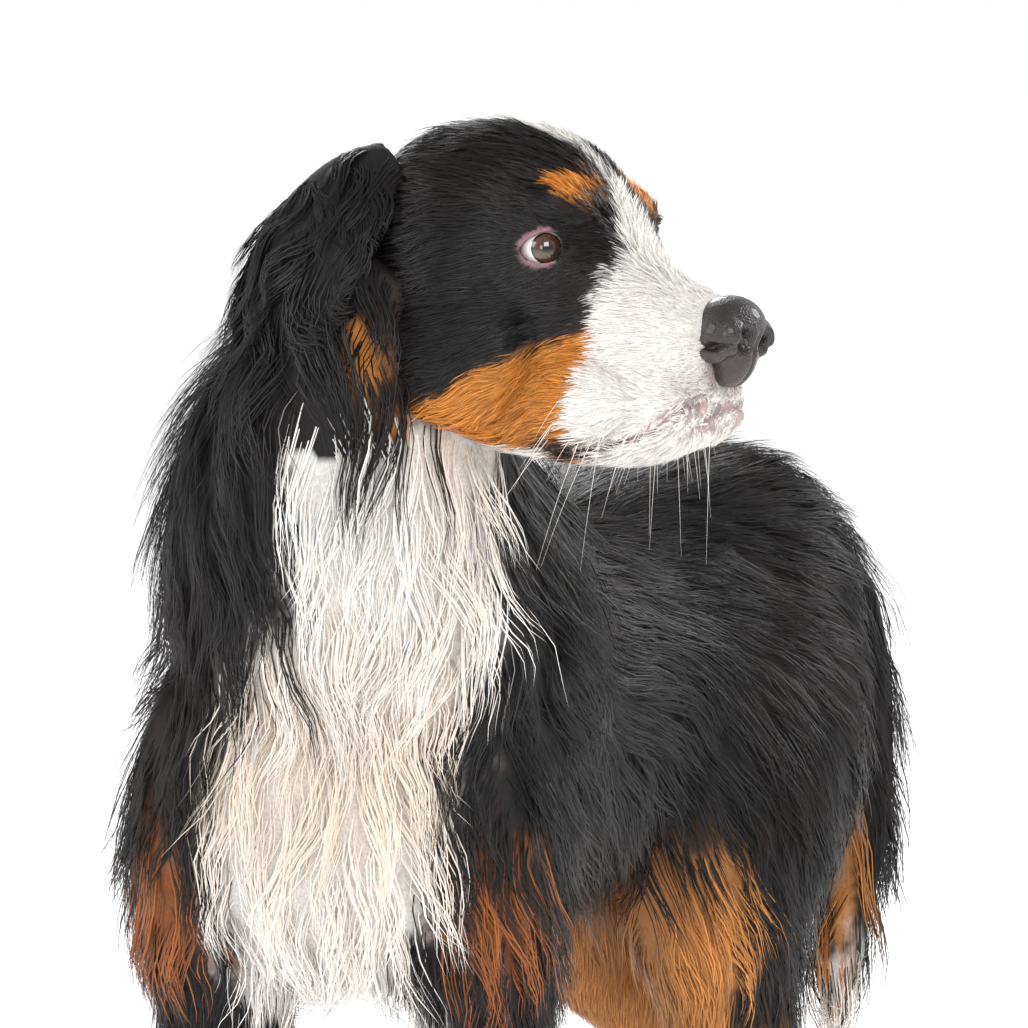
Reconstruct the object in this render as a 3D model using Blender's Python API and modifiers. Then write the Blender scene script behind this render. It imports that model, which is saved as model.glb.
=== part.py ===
"""A life-size Bernese mountain dog, standing with its head turned to its left.

Metres, +Z up. The straight dog faces -Y with its left side at +X. Its spine is then bent a little to the
left, the head and neck are posed on it, and the whole is set down with the middle of its box at the origin.
"""

import bisect
import math
import random

import bmesh
import bpy
from mathutils import Matrix, Vector
from mathutils.bvhtree import BVHTree
from mathutils.kdtree import KDTree

# The stance and the size.
SPINE_RADIUS = 0.8  # the spine's bend to the left, seen from above
HEAD_AT = Vector((0.2130, -0.2425, 0.801))  # between the eyes
HEAD_HEADING = -5.0  # degrees from +X towards +Y
HEAD_NOD = 3.5  # nose down, degrees
HEAD_ROLL = 6.0  # left ear down, degrees
GAP = 0.0003  # between touching nodes
PINCH = 0.000006  # surfaces nearer than this meet
PINCH_RELIEF = 0.00005
PINCH_ROUNDS = 4

# Trunk: y, top, bottom, half width of the body, and the depth of its coat.
TRUNK = (
    (-0.312, 0.470, 0.420, 0.036, 0.030),
    (-0.290, 0.520, 0.380, 0.074, 0.034),
    (-0.250, 0.568, 0.350, 0.106, 0.038),
    (-0.190, 0.602, 0.330, 0.121, 0.034),
    (-0.115, 0.614, 0.322, 0.125, 0.028),
    (-0.020, 0.608, 0.326, 0.128, 0.024),
    (0.075, 0.606, 0.350, 0.126, 0.024),
    (0.160, 0.612, 0.388, 0.124, 0.028),
    (0.235, 0.616, 0.405, 0.124, 0.032),
    (0.297, 0.602, 0.425, 0.104, 0.034),
    (0.335, 0.548, 0.452, 0.058, 0.034),
)

# Neck: place in the posed dog, half breadth, half depth, coat.
NECK = (
    (0.028, -0.150, 0.490, 0.120, 0.110, 0.036),
    (0.033, -0.202, 0.585, 0.122, 0.112, 0.038),
    (0.046, -0.240, 0.665, 0.095, 0.102, 0.034),
    (0.078, -0.260, 0.742, 0.062, 0.080, 0.026),
    (0.105, -0.259, 0.795, 0.046, 0.056, 0.014),
)

# Foreleg, left side: place in the straight dog, half breadth, half depth, coat.
FORELEG = (
    (0.052, -0.130, 0.575, 0.026, 0.052, 0.016),
    (0.074, -0.180, 0.515, 0.038, 0.072, 0.022),
    (0.084, -0.225, 0.445, 0.043, 0.072, 0.018),
    (0.088, -0.210, 0.372, 0.042, 0.060, 0.020),
    (0.088, -0.196, 0.322, 0.038, 0.052, 0.018),
    (0.087, -0.202, 0.258, 0.032, 0.043, 0.013),
    (0.086, -0.210, 0.190, 0.029, 0.036, 0.010),
    (0.085, -0.213, 0.140, 0.031, 0.034, 0.007),
    (0.085, -0.219, 0.088, 0.028, 0.030, 0.007),
    (0.085, -0.229, 0.046, 0.030, 0.032, 0.006),
)
FORELEG_LEAN = -0.006  # both forelegs stand a little to the dog's right
# The left hind leg stands under the body, and the right one is stretched back.
HIND_FORWARD = (
    (0.055, 0.215, 0.545, 0.058, 0.092, 0.028),
    (0.082, 0.200, 0.455, 0.062, 0.106, 0.030),
    (0.096, 0.170, 0.385, 0.058, 0.102, 0.034),
    (0.099, 0.158, 0.325, 0.048, 0.088, 0.030),
    (0.097, 0.170, 0.265, 0.038, 0.062, 0.024),
    (0.094, 0.182, 0.208, 0.030, 0.042, 0.016),
    (0.092, 0.206, 0.162, 0.028, 0.040, 0.010),
    (0.091, 0.201, 0.115, 0.026, 0.031, 0.008),
    (0.091, 0.190, 0.046, 0.028, 0.031, 0.006),
)
HIND_BACK = (
    (0.055, 0.215, 0.545, 0.058, 0.092, 0.028),
    (0.078, 0.207, 0.455, 0.060, 0.104, 0.030),
    (0.084, 0.192, 0.385, 0.056, 0.098, 0.034),
    (0.084, 0.192, 0.325, 0.046, 0.082, 0.030),
    (0.082, 0.220, 0.262, 0.036, 0.052, 0.020),
    (0.080, 0.266, 0.206, 0.029, 0.041, 0.014),
    (0.078, 0.300, 0.165, 0.028, 0.040, 0.010),
    (0.078, 0.300, 0.115, 0.026, 0.031, 0.008),
    (0.078, 0.290, 0.046, 0.028, 0.031, 0.006),
)
TAIL = (
    (0.000, 0.270, 0.565, 0.026, 0.026, 0.014),
    (0.000, 0.330, 0.552, 0.024, 0.024, 0.024),
    (0.002, 0.378, 0.495, 0.023, 0.023, 0.036),
    (0.006, 0.394, 0.405, 0.020, 0.020, 0.040),
    (0.008, 0.392, 0.310, 0.017, 0.017, 0.036),
    (0.008, 0.384, 0.225, 0.011, 0.011, 0.018),
    (0.008, 0.380, 0.180, 0.005, 0.005, 0.004),
)

# Paws, from a leg's last ring: the toes' places across and ahead, and the sizes of their balls.
PAW_BALL = (0.035, 0.042, 0.027)
PAW_BALL_BACK = -0.010
WRIST = (0.0355, 0.037, 0.050)
WRIST_AT = (0, 0.004, 0.056)
TOE_ROOT = -0.018
TOES = ((-0.0285, 0.018), (-0.0103, 0.034), (0.0103, 0.034), (0.0285, 0.018))
TOE_BALL = (0.0135, 0.0225, 0.0185)
TOE_RISE = 0.0155
CLAW_RADIUS = 0.0042
CLAW_SLIM = 0.8  # breadth against height
CLAW_LENGTH = 0.0144
CLAW_DROOP = 0.00672  # how far the tip hangs below the root
CLAW_AHEAD = 0.80  # root of a claw, as a share of the toe's length
CLAW_RISE = 0.0145
CLAW_RINGS = ((-0.5, 1.0), (0.4, 0.85), (1.0, 0.3))  # place along the claw and share of its radius
SOLE_SINK = 0.0035  # how much of the round paws the floor flattens

# The nodes' borders. Each is a convex outline of y, z (or of the head's forward, up) and its reach across.
HEAD_CELL = (
    (-0.128, 0.220),
    (-0.128, 0.000),
    (-0.104, -0.058),
    (-0.062, -0.104),
    (0.010, -0.1285),
    (0.080, -0.132),
    (0.250, -0.132),
    (0.250, 0.220),
)
NECK_JOINT = (Vector((0.038, -0.195, 0.580)), Vector((0.12, -0.36, 0.90)))
FORELEG_CELL = ((-0.36, 0.356), (-0.36, -0.05), (-0.06, -0.05), (-0.06, 0.300), (-0.145, 0.332), (-0.26, 0.352))
THIGH_CELL = (
    (0.020, -0.050),
    (0.420, -0.050),
    (0.420, 0.400),
    (0.330, 0.455),
    (0.240, 0.482),
    (0.150, 0.470),
    (0.082, 0.425),
    (0.035, 0.340),
)
HOCK_CELL = ((-0.10, -0.05), (0.50, -0.05), (0.50, 0.232), (-0.10, 0.212))
PAW_LEVEL = 0.074
TAIL_CELL = ((0.330, 0.70), (0.318, 0.562), (0.334, 0.480), (0.336, 0.100), (0.60, 0.100), (0.60, 0.70))

# The head's own axes are forward, left and up from between the eyes.
# Skull and muzzle: forward, top, bottom, half width, level of the widest place.
SKULL = (
    (-0.132, 0.034, -0.062, 0.040, -0.010),
    (-0.112, 0.058, -0.095, 0.062, -0.018),
    (-0.082, 0.070, -0.108, 0.072, -0.026),
    (-0.045, 0.071, -0.110, 0.073, -0.030),
    (-0.012, 0.062, -0.108, 0.060, -0.032),
    (0.016, 0.040, -0.106, 0.048, -0.036),
    (0.037, 0.011, -0.100, 0.042, -0.046),
    (0.058, -0.005, -0.098, 0.0385, -0.056),
    (0.078, -0.012, -0.096, 0.0355, -0.058),
    (0.092, -0.017, -0.086, 0.031, -0.054),
    (0.100, -0.025, -0.072, 0.022, -0.050),
)
# Rounded masses of the head's left side: centre, radii, degrees turned about the forward, left and up axes.
HEAD_MASSES = (
    ((-0.001, 0.0335, 0.024), (0.025, 0.0205, 0.018), (0, 20, -25)),
    ((-0.055, 0.0500, -0.056), (0.058, 0.0260, 0.052), (0, 15, 0)),
    ((0.000, 0.0325, -0.082), (0.066, 0.0180, 0.029), (0, 2, 9)),
    ((0.055, 0.0255, -0.086), (0.045, 0.0155, 0.023), (0, -6, 4)),
    ((0.086, 0.0140, -0.070), (0.017, 0.0160, 0.020), (0, 0, 0)),
)
# Lower jaw: forward, top, bottom, half width.
JAW = (
    (-0.070, -0.086, -0.112, 0.030),
    (-0.030, -0.086, -0.120, 0.038),
    (0.015, -0.088, -0.121, 0.034),
    (0.050, -0.088, -0.118, 0.029),
    (0.075, -0.084, -0.109, 0.025),
    (0.090, -0.080, -0.097, 0.017),
)
EYE_AT = Vector((-0.005, 0.0410, 0.000))
EYE_RADIUS = 0.0140
EYE_SIDES = 16
EYE_TURN = math.radians(40)  # from straight ahead to the side
EYE_SLANT = math.radians(8)
EYE_OPENING = (0.010, 0.0122, 0.0088)  # radii of the almond between the lids
LID_RADIUS = 0.0165
NOSE_AT = Vector((0.1015, 0.0, -0.035))
NOSE_RADII = (0.0215, 0.0240, 0.0215)
NOSE_TURN = (0, -8, 0)
NOSE_SIDES = 12
# Cuts in the left side of the nose: place from the nose's middle, radii, degrees turned.
NOSE_CUTS = (
    ((0.0160, 0.0125, -0.002), (0.0105, 0.0055, 0.0052), (0, 0, 28)),
    ((0.0060, 0.0220, -0.006), (0.0115, 0.0044, 0.0028), (0, 12, 10)),
)
CUT_SIDES = 8
# Ear: forward, across, up, half width, half thickness, turned (degrees).
EAR = (
    (-0.110, 0.050, 0.040, 0.020, 0.010, 10),
    (-0.125, 0.067, 0.022, 0.034, 0.010, 12),
    (-0.143, 0.080, -0.015, 0.048, 0.010, 14),
    (-0.151, 0.085, -0.052, 0.058, 0.010, 16),
    (-0.147, 0.086, -0.087, 0.054, 0.010, 16),
    (-0.136, 0.087, -0.116, 0.035, 0.009, 16),
    (-0.130, 0.087, -0.130, 0.010, 0.006, 16),
)
EAR_SIDES = 8
EAR_BOW = 0.22  # how far the flap bows out, as a share of its half width
EAR_INNER = 0.55  # how thick its inner half is, against the outer
EAR_CLEARANCE = 0.006  # room that the neck and head leave round an ear's coat
EAR_ROOM_VOXEL = 0.0035
EAR_ROOM_DETAIL = 0.04
SWELL = 0.0005

# Locks: length, half width, thickness, lift of the tip, wave, least distance between roots.
LOCKS = {
    "body": (0.145, 0.032, 0.012, 0.019, 0.12, 0.073),
    "belly": (0.120, 0.029, 0.011, 0.015, 0.12, 0.074),
    "mane": (0.140, 0.029, 0.013, 0.021, 0.30, 0.064),
    "chest": (0.130, 0.027, 0.013, 0.020, 0.35, 0.058),
    "fringe": (0.075, 0.022, 0.011, 0.014, 0.25, 0.050),
    "breech": (0.130, 0.029, 0.012, 0.020, 0.15, 0.064),
    "feather": (0.080, 0.018, 0.010, 0.012, 0.15, 0.046),
    "tail": (0.130, 0.026, 0.012, 0.024, 0.20, 0.056),
    "ear": (0.100, 0.0225, 0.0080, 0.009, 0.25, 0.047),
    "shoulder": (0.105, 0.028, 0.011, 0.010, 0.12, 0.066),
}
LOCK_KEEL = 0.35  # how much of a lock's thickness is under its middle line
# Rings of a lock: share of its length, width, thickness and rise of the lift.
LOCK_RINGS = ((0.0, 0.75, 0.9, -0.45), (0.30, 1.0, 1.0, 0.25), (0.68, 0.80, 0.75, 0.85), (1.0, 0.0, 0.0, 1.0))
LOCK_SWING = 0.22  # how far a lock may turn from the lie of the coat
LOCK_BEND = 5.0  # how fast its wave runs along it
LOCK_FALL = 0.2  # how much of each step follows the lie freely, off the surface
# Where each sort of lock grows on the straight dog, and None where the coat is short. The first row that
# holds counts: y from and to, z from and to, reach across, how far it faces ahead from and to, sort.
ANY = 9.0
COAT_ZONES = (
    (0.325, ANY, 0.215, ANY, 0.09, -ANY, ANY, "tail"),
    (0.325, ANY, -ANY, 0.215, 0.09, -ANY, ANY, None),
    (-ANY, ANY, -ANY, 0.235, ANY, -ANY, ANY, None),
    (-ANY, -0.02, -ANY, 0.345, ANY, -ANY, -0.2, "feather"),
    (-ANY, -0.02, -ANY, 0.345, ANY, -ANY, ANY, None),
    (0.06, ANY, -ANY, 0.27, ANY, -ANY, ANY, None),
    (0.06, ANY, -ANY, 0.36, ANY, 0.0, ANY, None),
    (0.06, ANY, -ANY, 0.46, ANY, -ANY, ANY, "breech"),
    (-ANY, -0.05, 0.585, ANY, ANY, -ANY, ANY, "mane"),
    (-ANY, -0.235, 0.43, ANY, 0.085, -ANY, ANY, "chest"),
    (-ANY, -0.235, -ANY, 0.43, 0.085, -ANY, ANY, "fringe"),
    (-ANY, -0.09, -ANY, 0.50, ANY, -ANY, ANY, "shoulder"),
    (-ANY, ANY, -ANY, 0.40, ANY, -ANY, ANY, "belly"),
    (-ANY, ANY, -ANY, ANY, ANY, -ANY, ANY, "body"),
)
# The way each sort lies: outward, back and up.
LOCK_WAYS = {
    "tail": (0.0, 0.03, -1.0),
    "mane": (0.0, 0.05, -1.0),
    "chest": (0.10, 0.05, -1.0),
    "fringe": (0.10, 0.05, -1.0),
    "shoulder": (0.0, 0.35, -1.0),
    "ear": (0.0, 0.0, -1.0),
    "breech": (0.0, 0.45, -1.0),
    "feather": (0.0, 0.75, -1.0),
    "belly": (0.0, 0.75, -0.9),
    "body": (0.0, 1.0, -0.45),
}
TAIL_TOP = (0.50, 0.35)  # above this height the tail's locks lie this far back
NAPE = (-0.20, 0.45)  # behind this y the mane's locks lie this far back
EAR_OUTSIDE = 0.35  # how far a place of the ear must face outward to grow locks
COAT_SHARE = 0.5  # how much of the coat's depth is in the core
SHORT_BELOW = 0.235  # the legs' coat is short below this height
COAT_SEED = 11
EAR_SEED = 14
COAT_TRIES = 60000
EAR_TRIES = 4000

# Detail of the melted bodies: voxel, rounds of smoothing, triangles.
BODY_DETAIL = (0.010, 6, 1450)
HEAD_DETAIL = (0.0042, 12, 780)
PAW_DETAIL = (0.004, 3, 190)
# The far ends of the cells that part the nodes.
HEAD_REACH = 0.3
PAW_REACH = 0.07
PAW_LENGTHS = (-0.12, 0.08)
LIMB_REACH = (0.018, 0.35)
HOCK_ROOM = 0.1
TAIL_REACH = 0.066  # half the breadth of the tail with its hair

# Colours (linear) and roughness of the nodes.
FINISHES = {
    "head": ((0.020, 0.018, 0.018), 0.75),
    "lower_jaw": ((0.720, 0.670, 0.620), 0.75),
    "nose": ((0.018, 0.014, 0.014), 0.30),
    "eye": ((0.060, 0.022, 0.010), 0.10),
    "ear": ((0.012, 0.011, 0.012), 0.70),
    "neck": ((0.014, 0.013, 0.014), 0.75),
    "torso": ((0.014, 0.013, 0.014), 0.75),
    "tail": ((0.012, 0.011, 0.011), 0.80),
    "foreleg": ((0.018, 0.014, 0.012), 0.75),
    "thigh": ((0.014, 0.012, 0.012), 0.78),
    "hindleg": ((0.460, 0.190, 0.045), 0.78),
    "forepaw": ((0.680, 0.640, 0.590), 0.78),
    "hindpaw": ((0.680, 0.640, 0.590), 0.78),
}


def clear_scene():
    """Removes what the file opened with."""
    for obj in list(bpy.data.objects):
        bpy.data.objects.remove(obj)


def spline(rows, per_span):
    """The rows of numbers, with per_span smooth steps between each two (Catmull-Rom)."""
    out = []
    last = len(rows) - 1
    for i in range(last):
        a, b, c, d = rows[max(i - 1, 0)], rows[i], rows[i + 1], rows[min(i + 2, last)]
        for k in range(per_span):
            t = k / per_span
            out.append(
                tuple(
                    0.5
                    * (
                        2 * q
                        + (r - p) * t
                        + (2 * p - 5 * q + 4 * r - s) * t * t
                        + (3 * q - p - 3 * r + s) * t**3
                    )
                    for p, q, r, s in zip(a, b, c, d)
                )
            )
    out.append(tuple(rows[-1]))
    return out


def bend(point):
    """Where a point of the straight dog lies once the spine is bent to the left."""
    turn = point[1] / SPINE_RADIUS
    reach = SPINE_RADIUS - point[0]
    return Vector((SPINE_RADIUS - reach * math.cos(turn), reach * math.sin(turn), point[2]))


def head_matrix():
    """From the head's own axes (forward, left, up) to the posed dog."""
    heading = Matrix.Rotation(math.radians(HEAD_HEADING), 4, "Z")
    nod = Matrix.Rotation(math.radians(HEAD_NOD), 4, "Y")
    roll = Matrix.Rotation(math.radians(-HEAD_ROLL), 4, "X")
    return Matrix.Translation(HEAD_AT) @ heading @ nod @ roll


def mesh_object(name, mesh):
    """A new object with this mesh, in the scene's own collection."""
    obj = bpy.data.objects.new(name, mesh)
    bpy.context.scene.collection.objects.link(obj)
    return obj


def loft(name, rings):
    """A closed skin over rings of points, with a fan at each end."""
    bm = bmesh.new()
    made = [[bm.verts.new(p) for p in ring] for ring in rings]
    sides = len(rings[0])
    for low, high in zip(made, made[1:]):
        for i in range(sides):
            j = (i + 1) % sides
            bm.faces.new((low[i], low[j], high[j], high[i]))
    for ring in (made[0], made[-1]):
        middle = bm.verts.new(sum((v.co for v in ring), Vector()) / sides)
        for i in range(sides):
            bm.faces.new((ring[i], ring[(i + 1) % sides], middle))
    bmesh.ops.recalc_face_normals(bm, faces=bm.faces)
    mesh = bpy.data.meshes.new(name)
    bm.to_mesh(mesh)
    bm.free()
    return mesh_object(name, mesh)


def oval(centre, across, up, half_width, rise, drop, sides=20, square=2.0):
    """One ring: an oval with its own rise above and drop below the centre."""
    ring = []
    for i in range(sides):
        angle = 2 * math.pi * i / sides
        c, s = math.cos(angle), math.sin(angle)
        reach_c = math.copysign(abs(c) ** (2 / square), c)
        reach_s = math.copysign(abs(s) ** (2 / square), s)
        height = rise if s > 0 else drop
        ring.append(centre + across * (half_width * reach_c) + up * (height * reach_s))
    return ring


def trunk_piece(coat):
    """The barrel of the body, from the breast bone to the buttocks, bent with the spine."""
    rings = []
    for y, top, bottom, half, depth in spline(TRUNK, 4):
        grow = depth * coat
        middle = (top + bottom) / 2
        at = Vector((0, y, middle))
        tall = (top - bottom) / 2 + grow
        ring = oval(at, Vector((1, 0, 0)), Vector((0, 0, 1)), half + grow, tall, tall, 24, 2.15)
        rings.append([bend(p) for p in ring])
    return loft("trunk", rings)


def tube_piece(name, rows, coat, fore, shape=lambda p: p, steps=4, sides=16, square=2.0):
    """A limb along rows of place, half breadth, half depth and coat. fore is the way its depth lies."""
    rows = spline(rows, steps)
    centres = [Vector(r[:3]) for r in rows]
    rings = []
    for i, row in enumerate(rows):
        along = centres[min(i + 1, len(rows) - 1)] - centres[max(i - 1, 0)]
        along.normalize()
        side = along.cross(fore).normalized()
        front = side.cross(along).normalized()
        depth = row[5] * (coat if row[2] > SHORT_BELOW else 1.0)
        deep = row[4] + depth
        ring = oval(centres[i], side, front, row[3] + depth, deep, deep, sides, square)
        rings.append([shape(p) for p in ring])
    return loft(name, rings)


def ball(name, centre, radii, place=Matrix.Identity(4), turn=(0, 0, 0), segments=20):
    """An ellipsoid at a centre in the axes that place gives, turned by degrees about them."""
    bm = bmesh.new()
    spin = Matrix.Identity(4)
    for angle, axis in zip(turn, "XYZ"):
        spin = spin @ Matrix.Rotation(math.radians(angle), 4, axis)
    scale = Matrix.Diagonal((*radii, 1.0))
    bmesh.ops.create_uvsphere(
        bm,
        u_segments=segments,
        v_segments=segments // 2,
        radius=1.0,
        matrix=place @ Matrix.Translation(centre) @ spin @ scale,
    )
    mesh = bpy.data.meshes.new(name)
    bm.to_mesh(mesh)
    bm.free()
    return mesh_object(name, mesh)


def evaluated_copy(obj, name):
    """The object as its modifiers leave it, as a new mesh object. The old one is removed."""
    graph = bpy.context.evaluated_depsgraph_get()
    mesh = bpy.data.meshes.new_from_object(obj.evaluated_get(graph))
    mesh.transform(obj.matrix_world)
    bpy.data.objects.remove(obj)
    made = mesh_object(name, mesh)
    mesh.name = name
    return made


def joined(name, pieces):
    """One object that holds all the pieces' meshes, still as separate shells."""
    bm = bmesh.new()
    for piece in pieces:
        bm.from_mesh(piece.data)
        bpy.data.objects.remove(piece)
    mesh = bpy.data.meshes.new(name)
    bm.to_mesh(mesh)
    bm.free()
    return mesh_object(name, mesh)


def flesh(name, pieces, voxel, smooth, triangles):
    """The pieces melted into one smooth closed body of about so many triangles."""
    obj = joined(name, pieces)
    remesh = obj.modifiers.new("melt", "REMESH")
    remesh.mode = "VOXEL"
    remesh.voxel_size = voxel
    ease = obj.modifiers.new("ease", "SMOOTH")
    ease.factor = 0.5
    ease.iterations = smooth
    split = obj.modifiers.new("split", "TRIANGULATE")
    split.min_vertices = 4
    obj = evaluated_copy(obj, name)
    thin = obj.modifiers.new("thin", "DECIMATE")
    thin.ratio = min(1.0, triangles / len(obj.data.polygons))
    return evaluated_copy(obj, name)


def cut(obj, cutter, operation="DIFFERENCE"):
    """The object less the cutter, or the two together, or what they share."""
    name = obj.name
    boolean = obj.modifiers.new("cut", "BOOLEAN")
    boolean.operation = operation
    boolean.solver = "MANIFOLD"
    boolean.object = cutter
    return evaluated_copy(obj, name)


def prism(profile, low, high, grow, shape):
    """A closed prism over a convex outline, pushed out all round by grow, with shape putting it in place."""
    count = len(profile)
    points = [Vector(p) for p in profile]
    area = sum(points[i].cross(points[(i + 1) % count]) for i in range(count))
    outward = 1.0 if area > 0 else -1.0
    moved = []
    for i in range(count):
        before = (points[i] - points[i - 1]).normalized()
        after = (points[(i + 1) % count] - points[i]).normalized()
        a = Vector((before.y, -before.x)) * outward
        b = Vector((after.y, -after.x)) * outward
        moved.append(points[i] + (a + b) * (grow / (1 + a.dot(b))))
    rings = [[shape(Vector((x, p.x, p.y))) for p in moved] for x in (low - grow, high + grow)]
    made = loft("cell", rings)
    # The same diagonals in every copy keep the walls of two touching cells parallel.
    bm = bmesh.new()
    bm.from_mesh(made.data)
    bmesh.ops.triangulate(bm, faces=bm.faces, quad_method="FIXED")
    bm.to_mesh(made.data)
    bm.free()
    return made


def part_off(obj, name, profile, low, high, shape=bend):
    """Parts an object at the cell's border: what is in the cell, as a new object, and the rest."""
    copy = mesh_object(name, obj.data.copy())
    inner = prism(profile, low, high, -GAP / 2, shape)
    outer = prism(profile, low, high, GAP / 2, shape)
    piece = cut(copy, inner, "INTERSECT")
    rest = cut(obj, outer)
    bpy.data.objects.remove(inner)
    bpy.data.objects.remove(outer)
    return piece, rest


def plane_cell(point, normal, lift):
    """A big block whose near face is a plane, lifted along its normal."""
    size = 2.0
    normal = normal.normalized()
    turn = normal.to_track_quat("Z", "Y").to_matrix().to_4x4()
    centre = point + normal * (size / 2 + lift)
    bm = bmesh.new()
    bmesh.ops.create_cube(bm, size=size, matrix=Matrix.Translation(centre) @ turn)
    mesh = bpy.data.meshes.new("half_space")
    bm.to_mesh(mesh)
    bm.free()
    return mesh_object("half_space", mesh)


def part_at_plane(obj, name, point, normal):
    """Parts an object at a plane: what lies ahead of it, as a new object, and the rest."""
    copy = mesh_object(name, obj.data.copy())
    ahead = plane_cell(point, normal, GAP / 2)
    behind = plane_cell(point, normal, -GAP / 2)
    piece = cut(copy, ahead, "INTERSECT")
    rest = cut(obj, behind)
    bpy.data.objects.remove(ahead)
    bpy.data.objects.remove(behind)
    return piece, rest


def subtract(obj, cutters):
    """The object less each of the cutters, which are then removed."""
    for cutter in cutters:
        obj = cut(obj, cutter)
        bpy.data.objects.remove(cutter)
    return obj


def only_largest(obj):
    """Keeps the largest closed surface of a node."""
    bm = bmesh.new()
    bm.from_mesh(obj.data)
    bm.verts.ensure_lookup_table()
    seen, groups = set(), []
    for start in bm.verts:
        if start.index in seen:
            continue
        stack, group = [start], []
        seen.add(start.index)
        while stack:
            v = stack.pop()
            group.append(v)
            for edge in v.link_edges:
                other = edge.other_vert(v)
                if other.index not in seen:
                    seen.add(other.index)
                    stack.append(other)
        groups.append(group)
    groups.sort(key=len)
    for group in groups[:-1]:
        bmesh.ops.delete(bm, geom=group, context="VERTS")
    bm.to_mesh(obj.data)
    bm.free()
    return obj


def open_pinches(obj):
    """Draws back the places where a node's surface meets itself at a point or along an edge."""
    bm = bmesh.new()
    bm.from_mesh(obj.data)
    bm.verts.ensure_lookup_table()
    tree = KDTree(len(bm.verts))
    for v in bm.verts:
        tree.insert(v.co, v.index)
    tree.balance()
    moves = {}
    for v in bm.verts:
        linked = {edge.other_vert(v).index for edge in v.link_edges}
        for _, index, _ in tree.find_range(v.co, PINCH):
            if index != v.index and index not in linked:
                middle = sum((edge.other_vert(v).co for edge in v.link_edges), Vector()) / len(linked)
                moves[v.index] = (middle - v.co).normalized() * PINCH_RELIEF
    for index, move in moves.items():
        bm.verts[index].co += move
    bm.to_mesh(obj.data)
    bm.free()
    return obj


def skull_pieces(place):
    """Skull, brow, cheeks and upper lips, as overlapping closed pieces."""
    rings = []
    for f, top, bottom, half, level in spline(SKULL, 4):
        at = Vector((f, 0, level))
        ring = oval(at, Vector((0, 1, 0)), Vector((0, 0, 1)), half, top - level, level - bottom, 24, 2.3)
        rings.append([place @ p for p in ring])
    pieces = [loft("skull", rings)]
    for side in (-1, 1):
        for at, radii, turn in HEAD_MASSES:
            pieces.append(sided_ball("mass", at, radii, turn, side, place))
    return pieces


def sided_ball(name, at, radii, turn, side, place, segments=20):
    """An ellipsoid given for the left side, on either side of the head."""
    return ball(
        name, (at[0], side * at[1], at[2]), radii, place, (turn[0], turn[1], side * turn[2]), segments
    )


def jaw_piece(place, grow=0.0):
    """The lower jaw, shut behind the upper lips."""
    rings = []
    for f, top, bottom, half in spline(JAW, 2):
        middle = (top + bottom) / 2
        tall = (top - bottom) / 2 + grow
        at = Vector((f, 0, middle))
        ring = oval(at, Vector((0, 1, 0)), Vector((0, 0, 1)), half + grow, tall, tall, 10, 2.4)
        rings.append([place @ p for p in ring])
    return loft("lower_jaw", rings)


def ear(side, place):
    """One hanging ear flap, with its hollow towards the cheek. side is 1 for the left."""
    centres = [Vector((f, side * reach, u)) for f, reach, u, _, _, _ in EAR]
    rings = []
    for i, (_, _, _, half, thick, turned) in enumerate(EAR):
        along = (centres[min(i + 1, len(EAR) - 1)] - centres[max(i - 1, 0)]).normalized()
        out = Matrix.Rotation(math.radians(side * turned), 3, "Z") @ Vector((0, side, 0))
        wide = along.cross(out).normalized()
        out = wide.cross(along).normalized()
        if out.y * side < 0:
            out = -out
        ring = []
        for k in range(EAR_SIDES):
            angle = 2 * math.pi * k / EAR_SIDES
            c, s = math.cos(angle), math.sin(angle)
            bow = EAR_BOW * half * (1 - c * c)
            lift = thick * s * (1.0 if s > 0 else EAR_INNER) + bow
            ring.append(place @ (centres[i] + wide * (half * c) + out * lift))
        rings.append(ring)
    return loft("ear", rings)


def paw(x, y, name):
    """A paw with four toes and their claws, on a flat sole."""
    turn = Matrix.Translation(bend((x, y, 0.0))) @ Matrix.Rotation(-y / SPINE_RADIUS, 4, "Z")
    ball_at = (0, PAW_BALL_BACK, PAW_BALL[2] - SOLE_SINK)
    pieces = [ball("pad", ball_at, PAW_BALL, turn), ball("wrist", WRIST_AT, WRIST, turn)]
    claws = []
    for across, ahead in TOES:
        root = TOE_ROOT - ahead
        pieces.append(ball("toe", (across, root, TOE_RISE - SOLE_SINK), TOE_BALL, turn))
        claws.append(claw(Vector((across, root - TOE_BALL[1] * CLAW_AHEAD, CLAW_RISE)), turn))
    made = flesh(name, pieces, *PAW_DETAIL)
    for piece in claws:
        made = cut(made, piece, "UNION")
        bpy.data.objects.remove(piece)
    made.name = name
    return made


def claw(at, turn):
    """A short blunt claw that points forward and down."""
    across, up = Vector((1, 0, 0)), Vector((0, 0, 1))
    rings = []
    for step, share in CLAW_RINGS:
        centre = at + Vector((0, -CLAW_LENGTH * step, -CLAW_DROOP * step * step))
        tall = CLAW_RADIUS * share
        ring = oval(centre, across, up, tall * CLAW_SLIM, tall, tall, 6)
        rings.append([turn @ p for p in ring])
    return loft("claw", rings)


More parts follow.
